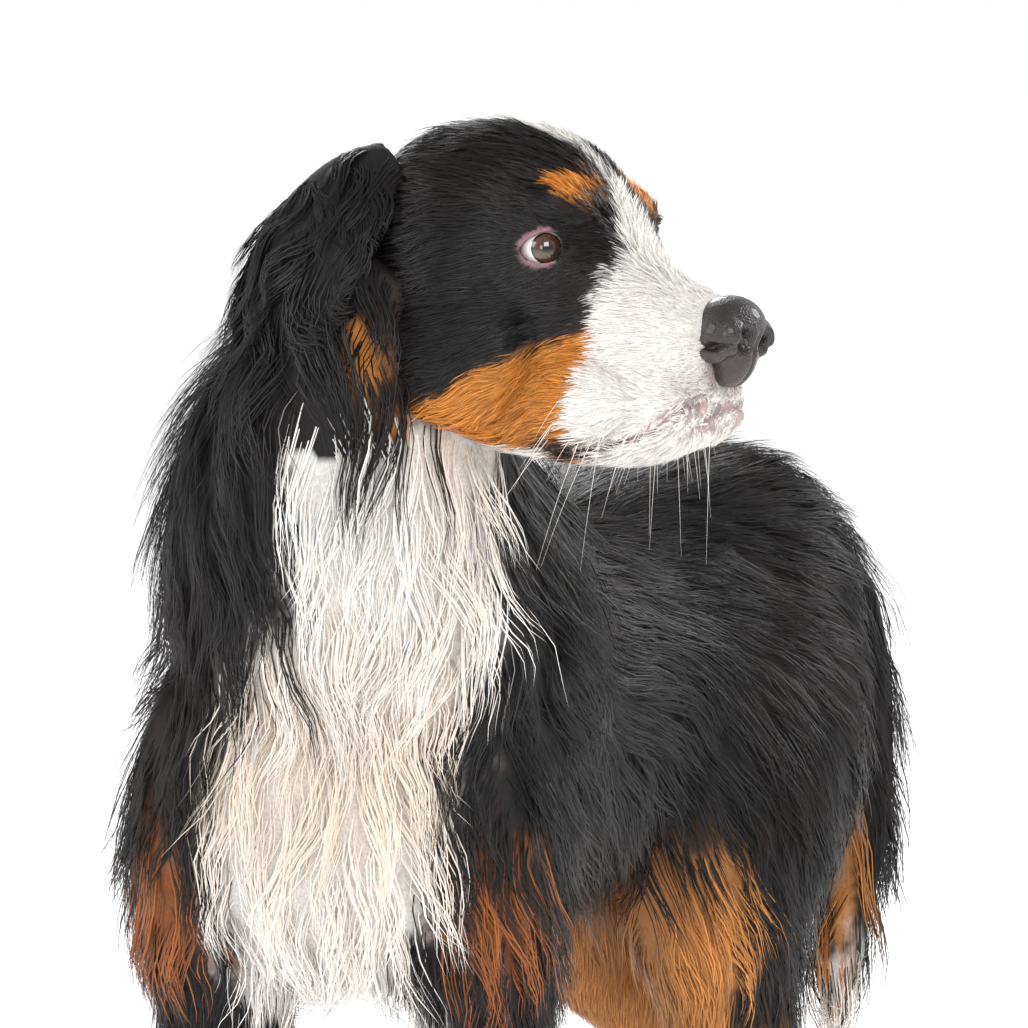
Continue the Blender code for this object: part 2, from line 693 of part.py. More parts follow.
def eye_parts(side, place):
    """The lids' ball, the almond that opens it, the socket and the eye itself."""
    at = Vector((EYE_AT.x, side * EYE_AT.y, EYE_AT.z))
    look = Vector((math.cos(EYE_TURN), side * math.sin(EYE_TURN), 0.0))
    turn = look.to_track_quat("X", "Z").to_matrix().to_4x4()
    here = place @ Matrix.Translation(at) @ turn @ Matrix.Rotation(side * EYE_SLANT, 4, "X")
    lids = ball("lids", (0, 0, 0), (LID_RADIUS,) * 3, here)
    almond = ball("almond", (EYE_RADIUS, 0, 0), EYE_OPENING, here, segments=CUT_SIDES + 4)
    socket = ball("socket", at, (EYE_RADIUS + GAP,) * 3, place, segments=EYE_SIDES)
    eye = ball("eye", at, (EYE_RADIUS,) * 3, place, segments=EYE_SIDES)
    return lids, almond, socket, eye


def nose_piece(place):
    """The nose with its nostrils and the slits beside them."""
    nose = ball("nose", NOSE_AT, NOSE_RADII, place, NOSE_TURN, NOSE_SIDES)
    for side in (1, -1):
        cuts = []
        for at, radii, turn in NOSE_CUTS:
            cuts.append(sided_ball("nostril", NOSE_AT + Vector(at), radii, turn, side, place, CUT_SIDES))
        nose = subtract(nose, cuts)
    nose.name = "nose"
    return nose


def in_head_cell(obj, name, place):
    """What of an object lies within the head's border."""
    piece, spare = part_off(obj, name, HEAD_CELL, -HEAD_REACH, HEAD_REACH, lambda p: place @ head_axes(p))
    bpy.data.objects.remove(spare)
    return piece


def build_head(place):
    """The head with lids, sockets, mouth line and ear roots, its jaw, nose and eyes."""
    pieces = skull_pieces(place)
    cutters = []
    for side, name in ((1, "left"), (-1, "right")):
        lids, almond, socket, eye = eye_parts(side, place)
        pieces.append(lids)
        cutters += [almond, socket]
        eye.name = "eye_" + name
    head = subtract(flesh("head", pieces, *HEAD_DETAIL), cutters)
    nose_piece(place)
    seat = ball("seat", NOSE_AT, tuple(r + GAP for r in NOSE_RADII), place, NOSE_TURN, NOSE_SIDES)
    head = subtract(head, [seat])
    jaw = in_head_cell(jaw_piece(place), "lower_jaw", place)
    head = subtract(in_head_cell(head, "head", place), [jaw_piece(place, GAP)])
    head.name = "head"
    jaw.name = "lower_jaw"
    return head


def head_axes(p):
    """A cell's across, forward, up as the head's forward, left, up."""
    return Vector((p.y, p.x, p.z))


def body_core():
    """The bare body with neck, legs and tail, and the paws' names with their legs' last rings."""
    back = Vector((0, -1, 0))
    pieces = [trunk_piece(COAT_SHARE)]
    feet = []
    for side, name in ((1, "left"), (-1, "right")):
        limb = [(x * side + FORELEG_LEAN, *rest) for x, *rest in FORELEG]
        rows = HIND_FORWARD if side > 0 else HIND_BACK
        hind = [(x * side, *rest) for x, *rest in rows]
        pieces.append(tube_piece("fore", limb, COAT_SHARE, back, bend))
        pieces.append(tube_piece("hind", hind, COAT_SHARE, back, bend))
        feet.append(("forepaw_" + name, limb[-1]))
        feet.append(("hindpaw_" + name, hind[-1]))
    pieces.append(tube_piece("neck", NECK, COAT_SHARE, back))
    pieces.append(tube_piece("tail", TAIL, COAT_SHARE, back, bend))
    return flesh("body", pieces, *BODY_DETAIL), feet


def main():
    """Builds the dog."""
    clear_scene()
    place = head_matrix()
    body, feet = body_core()
    body = grow_coat(body)
    head = build_head(place)
    rooms = []
    for side, name in ((1, "left"), (-1, "right")):
        rooms.append(haired_ear(side, place, "ear_" + name))
        head = cut(head, rooms[-1])
    spare, body = part_off(body, "spare", HEAD_CELL, -HEAD_REACH, HEAD_REACH, lambda p: place @ head_axes(p))
    bpy.data.objects.remove(spare)
    body = subtract(body, rooms)
    for name, ring in feet:
        body = fit_paw(body, name, ring)
    _, body = part_off(body, "tail", TAIL_CELL, -TAIL_REACH, TAIL_REACH)
    for side, name in ((1, "left"), (-1, "right")):
        low, high = sorted(side * reach for reach in LIMB_REACH)
        _, body = part_off(body, "foreleg_" + name, FORELEG_CELL, low, high)
        limb, body = part_off(body, "limb", THIGH_CELL, low, high)
        _, limb = part_off(limb, "hindleg_" + name, HOCK_CELL, low - HOCK_ROOM, high + HOCK_ROOM)
        limb.name = "thigh_" + name
    neck, body = part_at_plane(body, "neck", *NECK_JOINT)
    body.name = "torso"
    for name in ("ear_left", "ear_right"):
        flap = subtract(bpy.data.objects[name], [swollen(obj) for obj in (head, neck, body)])
        flap.name = name
    for obj in bpy.data.objects:
        only_largest(obj)
        for _ in range(PINCH_ROUNDS):
            open_pinches(obj)
    settle()
    finish()


def fit_paw(body, name, ring):
    """Cuts a leg off at its paw's border and puts the paw there. The body's rest is handed back."""
    y = ring[1]
    back, front = (y + length for length in PAW_LENGTHS)
    cell = ((back, 0.0), (front, 0.0), (front, PAW_LEVEL), (back, PAW_LEVEL))
    low, high = ring[0] - PAW_REACH, ring[0] + PAW_REACH
    spare, body = part_off(body, "spare", cell, low, high)
    bpy.data.objects.remove(spare)
    foot, spare = part_off(paw(ring[0], y, name), name, cell, low, high)
    bpy.data.objects.remove(spare)
    foot.name = name
    return body


def settle():
    """Moves all of the dog so that the middle of its box's underside is the origin."""
    points = [obj.matrix_world @ v.co for obj in bpy.data.objects for v in obj.data.vertices]
    low = Vector(min(p[i] for p in points) for i in range(3))
    high = Vector(max(p[i] for p in points) for i in range(3))
    shift = Vector((-(low.x + high.x) / 2, -(low.y + high.y) / 2, -low.z))
    for obj in bpy.data.objects:
        obj.data.transform(Matrix.Translation(shift))


def unbend(point):
    """The straight dog's own x, y, z of a point of the posed one."""
    across = SPINE_RADIUS - point.x
    return Vector(
        (SPINE_RADIUS - math.hypot(across, point.y), SPINE_RADIUS * math.atan2(point.y, across), point.z)
    )


def bent_way(way, y):
    """A direction of the straight dog, turned as the spine turns it at y."""
    return Matrix.Rotation(y / SPINE_RADIUS, 3, "Z") @ Vector(way)


def coat_sort(point, normal):
    """Which sort of lock grows at a place of the body, or None where the coat is short."""
    q = unbend(point)
    ahead = bent_way((0, -1, 0), q.y).dot(normal)
    for y_from, y_to, z_from, z_to, reach, ahead_from, ahead_to, sort in COAT_ZONES:
        in_place = y_from < q.y < y_to and z_from < q.z < z_to and abs(q.x) < reach
        if in_place and ahead_from < ahead < ahead_to:
            return sort
    return None


def ear_sort(side, place):
    """The sort of lock on an ear: only its outer face has any."""
    outward = (place.to_3x3() @ Vector((0, side, 0))).normalized()
    return lambda point, normal: "ear" if normal.dot(outward) > EAR_OUTSIDE else None


def lock_way(sort, q):
    """The way the coat lies there, in the straight dog's axes."""
    outward, back, up = LOCK_WAYS[sort]
    if sort == "tail" and q.z > TAIL_TOP[0]:
        back = TAIL_TOP[1]
    if sort == "mane" and q.y > NAPE[0]:
        back = NAPE[1]
    return Vector((outward if q.x > 0 else -outward, back, up))


def lock(start, normal, sort, tree, rng):
    """One flat tapered lock that grows from a surface, lies along the coat and lifts to its tip."""
    length, half, thick, lift, wave, _ = LOCKS[sort]
    length *= rng.uniform(0.88, 1.15)
    half *= rng.uniform(0.88, 1.12)
    swing = rng.uniform(-LOCK_SWING, LOCK_SWING)
    phase = rng.uniform(0, 2 * math.pi)
    at = start
    out = normal
    rings = []
    before = None
    for share, wide, tall, rise in LOCK_RINGS:
        q = unbend(at)
        way = bent_way(lock_way(sort, q), q.y)
        along = way - out * way.dot(out)
        along.normalize()
        turn = Matrix.Rotation(swing + wave * math.sin(phase + share * LOCK_BEND), 3, out)
        along = (turn @ along).normalized()
        if before is not None:
            step = length * (share - before)
            ahead = at + (along * (1 - LOCK_FALL) + way.normalized() * LOCK_FALL) * step
            near, out, _, _ = tree.find_nearest(ahead)
            height = (ahead - near).dot(out)
            at = near + out * max(rise * lift, min(height, rise * lift * 1.5))
        else:
            at = start + normal * (lift * rise)
        before = share
        side = along.cross(out).normalized()
        if wide == 0.0:
            rings.append(at)
            continue
        reach = side * (half * wide)
        low = at - out * (thick * tall * LOCK_KEEL)
        rings.append([low - reach, at + out * (thick * tall * (1 - LOCK_KEEL)), low + reach])
    return lock_mesh(rings)


def lock_mesh(rings):
    """A closed lock over its rings of points and its tip."""
    bm = bmesh.new()
    made = [[bm.verts.new(p) for p in ring] for ring in rings[:-1]]
    tip = bm.verts.new(rings[-1])
    bm.faces.new(made[0])
    for low, high in zip(made, made[1:]):
        for i in range(3):
            j = (i + 1) % 3
            bm.faces.new((low[i], low[j], high[j]))
            bm.faces.new((low[i], high[j], high[i]))
    for i in range(3):
        bm.faces.new((made[-1][i], made[-1][(i + 1) % 3], tip))
    bmesh.ops.recalc_face_normals(bm, faces=bm.faces)
    mesh = bpy.data.meshes.new("lock")
    bm.to_mesh(mesh)
    bm.free()
    return mesh_object("lock", mesh)


def roots_on(obj, rng, tries, sort_of):
    """Well-spread root places on the surface: point, normal and sort."""
    polygons = obj.data.polygons
    vertices = obj.data.vertices
    totals = []
    total = 0.0
    for polygon in polygons:
        total += polygon.area
        totals.append(total)
    found = []
    for _ in range(tries):
        polygon = polygons[min(bisect.bisect(totals, rng.uniform(0, total)), len(totals) - 1)]
        a, b, c = (vertices[i].co for i in polygon.vertices)
        u, v = sorted((rng.random(), rng.random()))
        point = a * u + b * (v - u) + c * (1 - v)
        sort = sort_of(point, polygon.normal)
        if sort is None:
            continue
        spacing = LOCKS[sort][5]
        if all((point - other).length > spacing for other, _, _ in found):
            found.append((point, polygon.normal.copy(), sort))
    return found


def united(obj, pieces):
    """The object and the pieces as one closed solid."""
    group = bpy.data.collections.new("growth")
    for piece in pieces:
        group.objects.link(piece)
    name = obj.name
    boolean = obj.modifiers.new("grow", "BOOLEAN")
    boolean.operation = "UNION"
    boolean.solver = "MANIFOLD"
    boolean.operand_type = "COLLECTION"
    boolean.collection = group
    made = evaluated_copy(obj, name)
    for piece in pieces:
        bpy.data.objects.remove(piece)
    bpy.data.collections.remove(group)
    return made


def swollen(obj):
    """A copy of the object, grown by the gap that its neighbours keep."""
    copy = mesh_object("swollen", obj.data.copy())
    swell = copy.modifiers.new("swell", "DISPLACE")
    swell.mid_level = 0.0
    swell.strength = SWELL
    return evaluated_copy(copy, "swollen")


def haired_ear(side, place, name):
    """An ear flap with its locks, and a plain swollen copy of both as the room to keep clear."""
    rng = random.Random(EAR_SEED)
    flap = ear(side, place)
    split = bmesh.new()
    split.from_mesh(flap.data)
    bmesh.ops.triangulate(split, faces=split.faces)
    split.to_mesh(flap.data)
    split.free()
    tree = BVHTree.FromObject(flap, bpy.context.evaluated_depsgraph_get())
    roots = roots_on(flap, rng, EAR_TRIES, ear_sort(side, place))
    pieces = [lock(point, normal, sort, tree, rng) for point, normal, sort in roots]
    made = united(flap, pieces)
    made.name = name
    room = mesh_object("room", made.data.copy())
    melt = room.modifiers.new("melt", "REMESH")
    melt.mode = "VOXEL"
    melt.voxel_size = EAR_ROOM_VOXEL
    swell = room.modifiers.new("swell", "DISPLACE")
    swell.mid_level = 0.0
    swell.strength = EAR_CLEARANCE
    again = room.modifiers.new("again", "REMESH")
    again.mode = "VOXEL"
    again.voxel_size = EAR_ROOM_VOXEL
    thin = room.modifiers.new("thin", "DECIMATE")
    thin.ratio = EAR_ROOM_DETAIL
    return evaluated_copy(room, "room")


def grow_coat(core):
    """The core with its long coat of locks."""
    rng = random.Random(COAT_SEED)
    tree = BVHTree.FromObject(core, bpy.context.evaluated_depsgraph_get())
    roots = roots_on(core, rng, COAT_TRIES, coat_sort)
    return united(core, [lock(point, normal, sort, tree, rng) for point, normal, sort in roots])


def finish():
    """Gathers the nodes in the dog's own collection and gives each its material."""
    group = bpy.data.collections.new("bernese_mountain_dog")
    bpy.context.scene.collection.children.link(group)
    for obj in list(bpy.context.scene.collection.objects):
        group.objects.link(obj)
        bpy.context.scene.collection.objects.unlink(obj)
        kind = obj.name.rsplit("_", 1)[0] if obj.name.endswith(("left", "right")) else obj.name
        colour, roughness = FINISHES[kind]
        material = bpy.data.materials.new(obj.name)
        material.use_nodes = True
        shader = material.node_tree.nodes["Principled BSDF"]
        shader.inputs["Base Color"].default_value = (*colour, 1.0)
        shader.inputs["Roughness"].default_value = roughness
        shader.inputs["Metallic"].default_value = 0.0
        obj.data.materials.clear()
        obj.data.materials.append(material)
        if kind in ("eye", "nose"):
            obj.data.shade_smooth()


main()
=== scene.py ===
"""Looks of a life-size Bernese mountain dog, standing with its head turned to its left.

One skin, its coat of tufts, the eyes, nose leather, claws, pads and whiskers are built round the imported
solids. Metres, +Z up. The straight dog faces -Y with its left side at +X. Its spine is then bent, and the
head has axes of its own: forward, left and up from between the eyes.
"""

import logging
import math
from dataclasses import astuple, dataclass, replace
from enum import Enum, IntEnum

import bpy
import numpy as np
from mathutils import Matrix, Vector
from mathutils.bvhtree import BVHTree
from mathutils.kdtree import KDTree

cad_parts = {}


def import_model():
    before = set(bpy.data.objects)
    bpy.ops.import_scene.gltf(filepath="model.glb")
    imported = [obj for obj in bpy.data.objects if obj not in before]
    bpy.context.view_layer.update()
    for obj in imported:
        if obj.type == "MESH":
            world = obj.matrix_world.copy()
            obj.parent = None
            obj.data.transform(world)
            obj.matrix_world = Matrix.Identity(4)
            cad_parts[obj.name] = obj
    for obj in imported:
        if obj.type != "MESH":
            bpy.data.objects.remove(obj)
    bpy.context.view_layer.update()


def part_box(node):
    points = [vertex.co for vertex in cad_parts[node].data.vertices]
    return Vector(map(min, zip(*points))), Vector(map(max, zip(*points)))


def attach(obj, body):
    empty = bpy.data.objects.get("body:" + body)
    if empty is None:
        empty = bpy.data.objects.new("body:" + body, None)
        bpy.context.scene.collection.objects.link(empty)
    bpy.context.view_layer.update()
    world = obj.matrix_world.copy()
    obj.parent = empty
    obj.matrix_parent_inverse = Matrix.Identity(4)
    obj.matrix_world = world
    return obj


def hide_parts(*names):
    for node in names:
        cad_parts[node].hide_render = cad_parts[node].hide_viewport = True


Array = np.ndarray
Rows = tuple[tuple[float, ...], ...]
TINT = "tint"  # the name of the colours that a mesh carries
X_AXIS, Y_AXIS, Z_AXIS = np.eye(3)
log = logging.getLogger("dog")


class Side(IntEnum):
    """The two sides of the dog, as the sign of the way across."""

    LEFT = 1
    RIGHT = -1


# Small helpers.


def rise(x: Array, edge: float, soft: float) -> Array:
    """A smooth step from 0 to 1 where x passes the edge.

    Args:
        x: Values.
        edge: Where the step is half way.
        soft: How wide the step is.

    Returns:
        Weights from 0 to 1.
    """
    return 1.0 / (1.0 + np.exp(-np.clip((x - edge) / soft, -40, 40)))


def unit(v: Array) -> Array:
    """Rows of v at length one."""
    return v / np.maximum(np.linalg.norm(v, axis=-1, keepdims=True), 1e-9)


def spline(rows: Rows, per_span: int) -> Array:
    """Smooth rows through the given ones (Catmull-Rom).

    Args:
        rows: Rows of numbers.
        per_span: Steps between each two rows.

    Returns:
        The rows with the steps between them.
    """
    table = np.array(rows, float)
    last = len(table) - 1
    out = []
    for i in range(last):
        a, b = table[max(i - 1, 0)], table[i]
        c, d = table[i + 1], table[min(i + 2, last)]
        for k in range(per_span):
            t = k / per_span
            out.append(
                0.5
                * (
                    2 * b
                    + (c - a) * t
                    + (2 * a - 5 * b + 4 * c - d) * t * t
                    + (3 * b - a - 3 * c + d) * t**3
                )
            )
    out.append(table[-1])
    return np.array(out)


class Ripple:
    """A smooth wandering value over space, as a sum of plane waves."""

    def __init__(self, seed: int, size: float, waves: int = 10) -> None:
        """Draws the waves.

        Args:
            seed: Seed of the draw.
            size: Typical distance between two crests, in metres.
            waves: How many waves are summed.
        """
        rng = np.random.default_rng(seed)
        ways = unit(rng.normal(size=(waves, 3)))
        self.ways = ways * (2 * math.pi / size) * rng.uniform(0.5, 1.9, (waves, 1))
        self.phases = rng.uniform(0, 2 * math.pi, waves)
        self.scale = math.sqrt(2.0 / waves)

    def at(self, p: Array) -> Array:
        """The value at each point, mostly within -1 and 1."""
        return np.sin(p @ self.ways.T + self.phases).sum(1) * self.scale


# The dog's stance and sizes.


@dataclass(frozen=True)
class Stance:
    """How the straight dog is bent and how it holds its head."""

    spine_radius: float = 0.8
    head_at: tuple[float, float, float] = (0.2130, -0.2425, 0.801)
    heading: float = -5.0
    nod: float = 3.5
    roll: float = 6.0

    def bend(self, p: Array) -> Array:
        """Where points of the straight dog lie once the spine is bent."""
        turn = p[:, 1] / self.spine_radius
        reach = self.spine_radius - p[:, 0]
        x = self.spine_radius - reach * np.cos(turn)
        return np.stack([x, reach * np.sin(turn), p[:, 2]], 1)

    def unbend(self, p: Array) -> Array:
        """The straight dog's own place of points of the posed one."""
        across = self.spine_radius - p[:, 0]
        x = self.spine_radius - np.hypot(across, p[:, 1])
        return np.stack([x, self.spine_radius * np.arctan2(p[:, 1], across), p[:, 2]], 1)

    def turn_ways(self, ways: Array, y: Array) -> Array:
        """Directions of the straight dog, turned as the spine turns them at y."""
        angle = -y / self.spine_radius
        c, s = np.cos(angle), np.sin(angle)
        x = ways[:, 0] * c - ways[:, 1] * s
        return np.stack([x, ways[:, 0] * s + ways[:, 1] * c, ways[:, 2]], 1)

    def head_matrix(self) -> Matrix:
        """From the head's axes to the posed dog."""
        heading = Matrix.Rotation(math.radians(self.heading), 4, "Z")
        nod = Matrix.Rotation(math.radians(self.nod), 4, "Y")
        roll = Matrix.Rotation(math.radians(-self.roll), 4, "X")
        return Matrix.Translation(self.head_at) @ heading @ nod @ roll

    def head_turn(self) -> Array:
        """The head's turn as a 3 by 3 array."""
        return np.array(self.head_matrix().to_3x3(), float)

    def to_head(self, p: Array) -> Array:
        """Points of the posed dog in the head's axes."""
        return (p - np.array(self.head_at)) @ self.head_turn()

    def from_head(self, h: Array) -> Array:
        """Points in the head's axes, in the posed dog."""
        return h @ self.head_turn().T + np.array(self.head_at)


@dataclass(frozen=True)
class Measures:
    """The rows that the body is built from, as in the solids."""

    # y, top, bottom, half width, coat
    trunk: Rows = (
        (-0.312, 0.470, 0.420, 0.036, 0.030),
        (-0.290, 0.520, 0.380, 0.074, 0.034),
        (-0.250, 0.568, 0.350, 0.106, 0.038),
        (-0.190, 0.602, 0.330, 0.121, 0.034),
        (-0.115, 0.614, 0.322, 0.125, 0.028),
        (-0.020, 0.608, 0.326, 0.128, 0.024),
        (0.075, 0.606, 0.350, 0.126, 0.024),
        (0.160, 0.612, 0.388, 0.124, 0.028),
        (0.235, 0.616, 0.405, 0.124, 0.032),
        (0.297, 0.602, 0.425, 0.104, 0.034),
        (0.335, 0.548, 0.452, 0.058, 0.034),
    )
    # place, half breadth, half depth, coat
    neck: Rows = (
        (0.028, -0.150, 0.490, 0.120, 0.110, 0.036),
        (0.033, -0.202, 0.585, 0.122, 0.112, 0.038),
        (0.046, -0.240, 0.665, 0.095, 0.102, 0.034),
        (0.078, -0.260, 0.742, 0.062, 0.080, 0.026),
        (0.105, -0.259, 0.795, 0.046, 0.056, 0.014),
    )
    foreleg: Rows = (
        (0.052, -0.130, 0.575, 0.026, 0.052, 0.016),
        (0.074, -0.180, 0.515, 0.038, 0.072, 0.022),
        (0.084, -0.225, 0.445, 0.043, 0.072, 0.018),
        (0.088, -0.210, 0.372, 0.042, 0.060, 0.020),
        (0.088, -0.196, 0.322, 0.038, 0.052, 0.018),
        (0.087, -0.202, 0.258, 0.032, 0.043, 0.013),
        (0.086, -0.210, 0.190, 0.029, 0.036, 0.010),
        (0.085, -0.213, 0.140, 0.031, 0.034, 0.007),
        (0.085, -0.219, 0.088, 0.028, 0.030, 0.007),
        (0.085, -0.229, 0.046, 0.030, 0.032, 0.006),
    )
    foreleg_lean: float = -0.006
    hind_forward: Rows = (
        (0.055, 0.215, 0.545, 0.058, 0.092, 0.028),
        (0.082, 0.200, 0.455, 0.062, 0.106, 0.030),
        (0.096, 0.170, 0.385, 0.058, 0.102, 0.034),
        (0.099, 0.158, 0.325, 0.048, 0.088, 0.030),
        (0.097, 0.170, 0.265, 0.038, 0.062, 0.024),
        (0.094, 0.182, 0.208, 0.030, 0.042, 0.016),
        (0.092, 0.206, 0.162, 0.028, 0.040, 0.010),
        (0.091, 0.201, 0.115, 0.026, 0.031, 0.008),
        (0.091, 0.190, 0.046, 0.028, 0.031, 0.006),
    )
    hind_back: Rows = (
        (0.055, 0.215, 0.545, 0.058, 0.092, 0.028),
        (0.078, 0.207, 0.455, 0.060, 0.104, 0.030),
        (0.084, 0.192, 0.385, 0.056, 0.098, 0.034),
        (0.084, 0.192, 0.325, 0.046, 0.082, 0.030),
        (0.082, 0.220, 0.262, 0.036, 0.052, 0.020),
        (0.080, 0.266, 0.206, 0.029, 0.041, 0.014),
        (0.078, 0.300, 0.165, 0.028, 0.040, 0.010),
        (0.078, 0.300, 0.115, 0.026, 0.031, 0.008),
        (0.078, 0.290, 0.046, 0.028, 0.031, 0.006),
    )
    tail: Rows = (
        (0.000, 0.270, 0.565, 0.026, 0.026, 0.014),
        (0.000, 0.330, 0.552, 0.024, 0.024, 0.024),
        (0.002, 0.378, 0.495, 0.023, 0.023, 0.036),
        (0.006, 0.394, 0.405, 0.020, 0.020, 0.040),
        (0.008, 0.392, 0.310, 0.017, 0.017, 0.036),
        (0.008, 0.384, 0.225, 0.011, 0.011, 0.018),
        (0.008, 0.380, 0.180, 0.005, 0.005, 0.004),
    )
    short_below: float = 0.235
    paw_ball: tuple[float, float, float] = (0.035, 0.042, 0.027)
    toes: Rows = ((-0.0285, 0.018), (-0.0103, 0.034), (0.0103, 0.034), (0.0285, 0.018))
    toe_ball: tuple[float, float, float] = (0.0135, 0.0225, 0.0185)
    toe_rise: float = 0.0155
    sole_sink: float = 0.0035
    # forward, top, bottom, half width, level of the widest place
    skull: Rows = (
        (-0.132, 0.034, -0.062, 0.040, -0.010),
        (-0.112, 0.058, -0.095, 0.062, -0.018),
        (-0.082, 0.070, -0.108, 0.072, -0.026),
        (-0.045, 0.071, -0.110, 0.073, -0.030),
        (-0.012, 0.062, -0.108, 0.060, -0.032),
        (0.016, 0.040, -0.106, 0.048, -0.036),
        (0.037, 0.011, -0.100, 0.042, -0.046),
        (0.058, -0.005, -0.098, 0.0385, -0.056),
        (0.078, -0.012, -0.096, 0.0355, -0.058),
        (0.092, -0.017, -0.086, 0.031, -0.054),
        (0.100, -0.025, -0.072, 0.022, -0.050),
    )
    # rounded masses of the head's left side: centre, radii, degrees turned
    masses: tuple[Rows, ...] = (
        ((-0.001, 0.0335, 0.024), (0.025, 0.0205, 0.018), (0, 20, -25)),
        ((-0.055, 0.0500, -0.056), (0.058, 0.0260, 0.052), (0, 15, 0)),
        ((0.000, 0.0325, -0.082), (0.066, 0.0180, 0.029), (0, 2, 9)),
        ((0.055, 0.0255, -0.084), (0.045, 0.0155, 0.024), (0, -6, 4)),
        ((0.086, 0.0140, -0.069), (0.017, 0.0155, 0.021), (0, 0, 0)),
    )
    # forward, top, bottom, half width
    jaw: Rows = (
        (-0.070, -0.086, -0.112, 0.030),
        (-0.030, -0.086, -0.120, 0.038),
        (0.015, -0.088, -0.121, 0.034),
        (0.050, -0.088, -0.118, 0.029),
        (0.075, -0.084, -0.109, 0.025),
        (0.090, -0.080, -0.097, 0.017),
    )
    # forward, across, up, half width, half thickness, turned (degrees)
    ear: Rows = (
        (-0.110, 0.050, 0.040, 0.020, 0.010, 10),
        (-0.125, 0.067, 0.022, 0.034, 0.010, 12),
        (-0.143, 0.080, -0.015, 0.048, 0.010, 14),
        (-0.151, 0.085, -0.052, 0.058, 0.010, 16),
        (-0.147, 0.086, -0.087, 0.054, 0.010, 16),
        (-0.136, 0.087, -0.116, 0.035, 0.009, 16),
        (-0.130, 0.087, -0.130, 0.010, 0.006, 16),
    )
    ear_bow: float = 0.22
    ear_inner: float = 0.55
    # forward and up along the line of the mouth
    lips: Rows = (
        (0.002, -0.1150),
        (0.030, -0.1120),
        (0.055, -0.1055),
        (0.077, -0.0970),
        (0.091, -0.0860),
        (0.102, -0.0740),
    )
    eye_at: tuple[float, float, float] = (-0.005, 0.0410, 0.000)
    eye_radius: float = 0.0140
    nose_at: tuple[float, float, float] = (0.1015, 0.0, -0.035)


# Finishes.


class Relief(Enum):
    """The texture node that a bump comes from, and its output."""

    NOISE = ("ShaderNodeTexNoise", "Fac")
    CELLS = ("ShaderNodeTexVoronoi", "Distance")


@dataclass(frozen=True)
class Finish:
    """A procedural surface: tint from the mesh or one colour, with grain and bump."""

    name: str
    roughness: float
    tint: tuple[float, float, float] | None = None
    grain: float = 0.0
    grain_size: float = 400.0
    bump: float = 0.0
    bump_size: float = 900.0
    bump_depth: float = 0.0006
    relief: Relief = Relief.NOISE
    coat: float = 0.0
    coat_roughness: float = 0.03
    specular: float = 0.5
    glow: float = 0.0

    def material(self) -> bpy.types.Material:
        """The node material of this finish.

        Returns:
            A new material whose colour, grain and bump come from nodes.
        """
        material = bpy.data.materials.new(self.name)
        material.use_nodes = True
        tree = material.node_tree
        shader = tree.nodes["Principled BSDF"]
        shader.inputs["Roughness"].default_value = self.roughness
        shader.inputs["Coat Weight"].default_value = self.coat
        shader.inputs["Coat Roughness"].default_value = self.coat_roughness
        shader.inputs["Specular IOR Level"].default_value = self.specular
        if self.glow:
            shader.inputs["Emission Color"].default_value = (1.0, 1.0, 1.0, 1.0)
            shader.inputs["Emission Strength"].default_value = self.glow
        place = tree.nodes.new("ShaderNodeTexCoord")
        noise = tree.nodes.new("ShaderNodeTexNoise")
        noise.inputs["Scale"].default_value = self.grain_size
        noise.inputs["Detail"].default_value = 3.0
        tree.links.new(place.outputs["Object"], noise.inputs["Vector"])
        span = tree.nodes.new("ShaderNodeMapRange")
        span.inputs["From Min"].default_value = 0.3
        span.inputs["From Max"].default_value = 0.7
        span.inputs["To Min"].default_value = 1.0 - self.grain
        span.inputs["To Max"].default_value = 1.0 + self.grain
        tree.links.new(noise.outputs["Fac"], span.inputs["Value"])
        shade = tree.nodes.new("ShaderNodeVectorMath")
        shade.operation = "SCALE"
        if self.tint is None:
            source = tree.nodes.new("ShaderNodeAttribute")
            source.attribute_name = TINT
            tree.links.new(source.outputs["Color"], shade.inputs[0])
        else:
            shade.inputs[0].default_value = self.tint
        tree.links.new(span.outputs["Result"], shade.inputs["Scale"])
        tree.links.new(shade.outputs["Vector"], shader.inputs["Base Color"])
        if self.bump:
            kind, output = self.relief.value
            cells = tree.nodes.new(kind)
            cells.inputs["Scale"].default_value = self.bump_size
            tree.links.new(place.outputs["Object"], cells.inputs["Vector"])
            bump = tree.nodes.new("ShaderNodeBump")
            bump.inputs["Strength"].default_value = self.bump
            bump.inputs["Distance"].default_value = self.bump_depth
            tree.links.new(cells.outputs[output], bump.inputs["Height"])
            tree.links.new(bump.outputs["Normal"], shader.inputs["Normal"])
        return material


HAIR = Finish("hair", roughness=0.38, grain=0.10, grain_size=900.0, specular=0.30)
SKIN = Finish("skin", roughness=0.62, grain=0.18, grain_size=500.0, bump=0.5, bump_size=700.0, specular=0.3)
LEATHER = Finish(
    "nose_leather", roughness=0.33, grain=0.25, bump=0.75, bump_size=950.0, relief=Relief.CELLS, coat=0.35
)
EYE = Finish("eye", roughness=0.12, grain=0.04, grain_size=1500.0, coat=1.0)
HORN = Finish("claw_horn", roughness=0.35, tint=(0.035, 0.024, 0.020), grain=0.3, grain_size=250.0, bump=0.2)
PAD = Finish("paw_pad", roughness=0.7, tint=(0.020, 0.016, 0.016), grain=0.3, bump=0.8, bump_size=500.0)
WHISKER = Finish("whisker", roughness=0.35, tint=(0.80, 0.78, 0.74), grain=0.05)
FLOOR = Finish(
    "studio_floor", roughness=0.85, tint=(0.88, 0.88, 0.885), grain=0.005, grain_size=3.0, glow=0.55
)


# Markings.


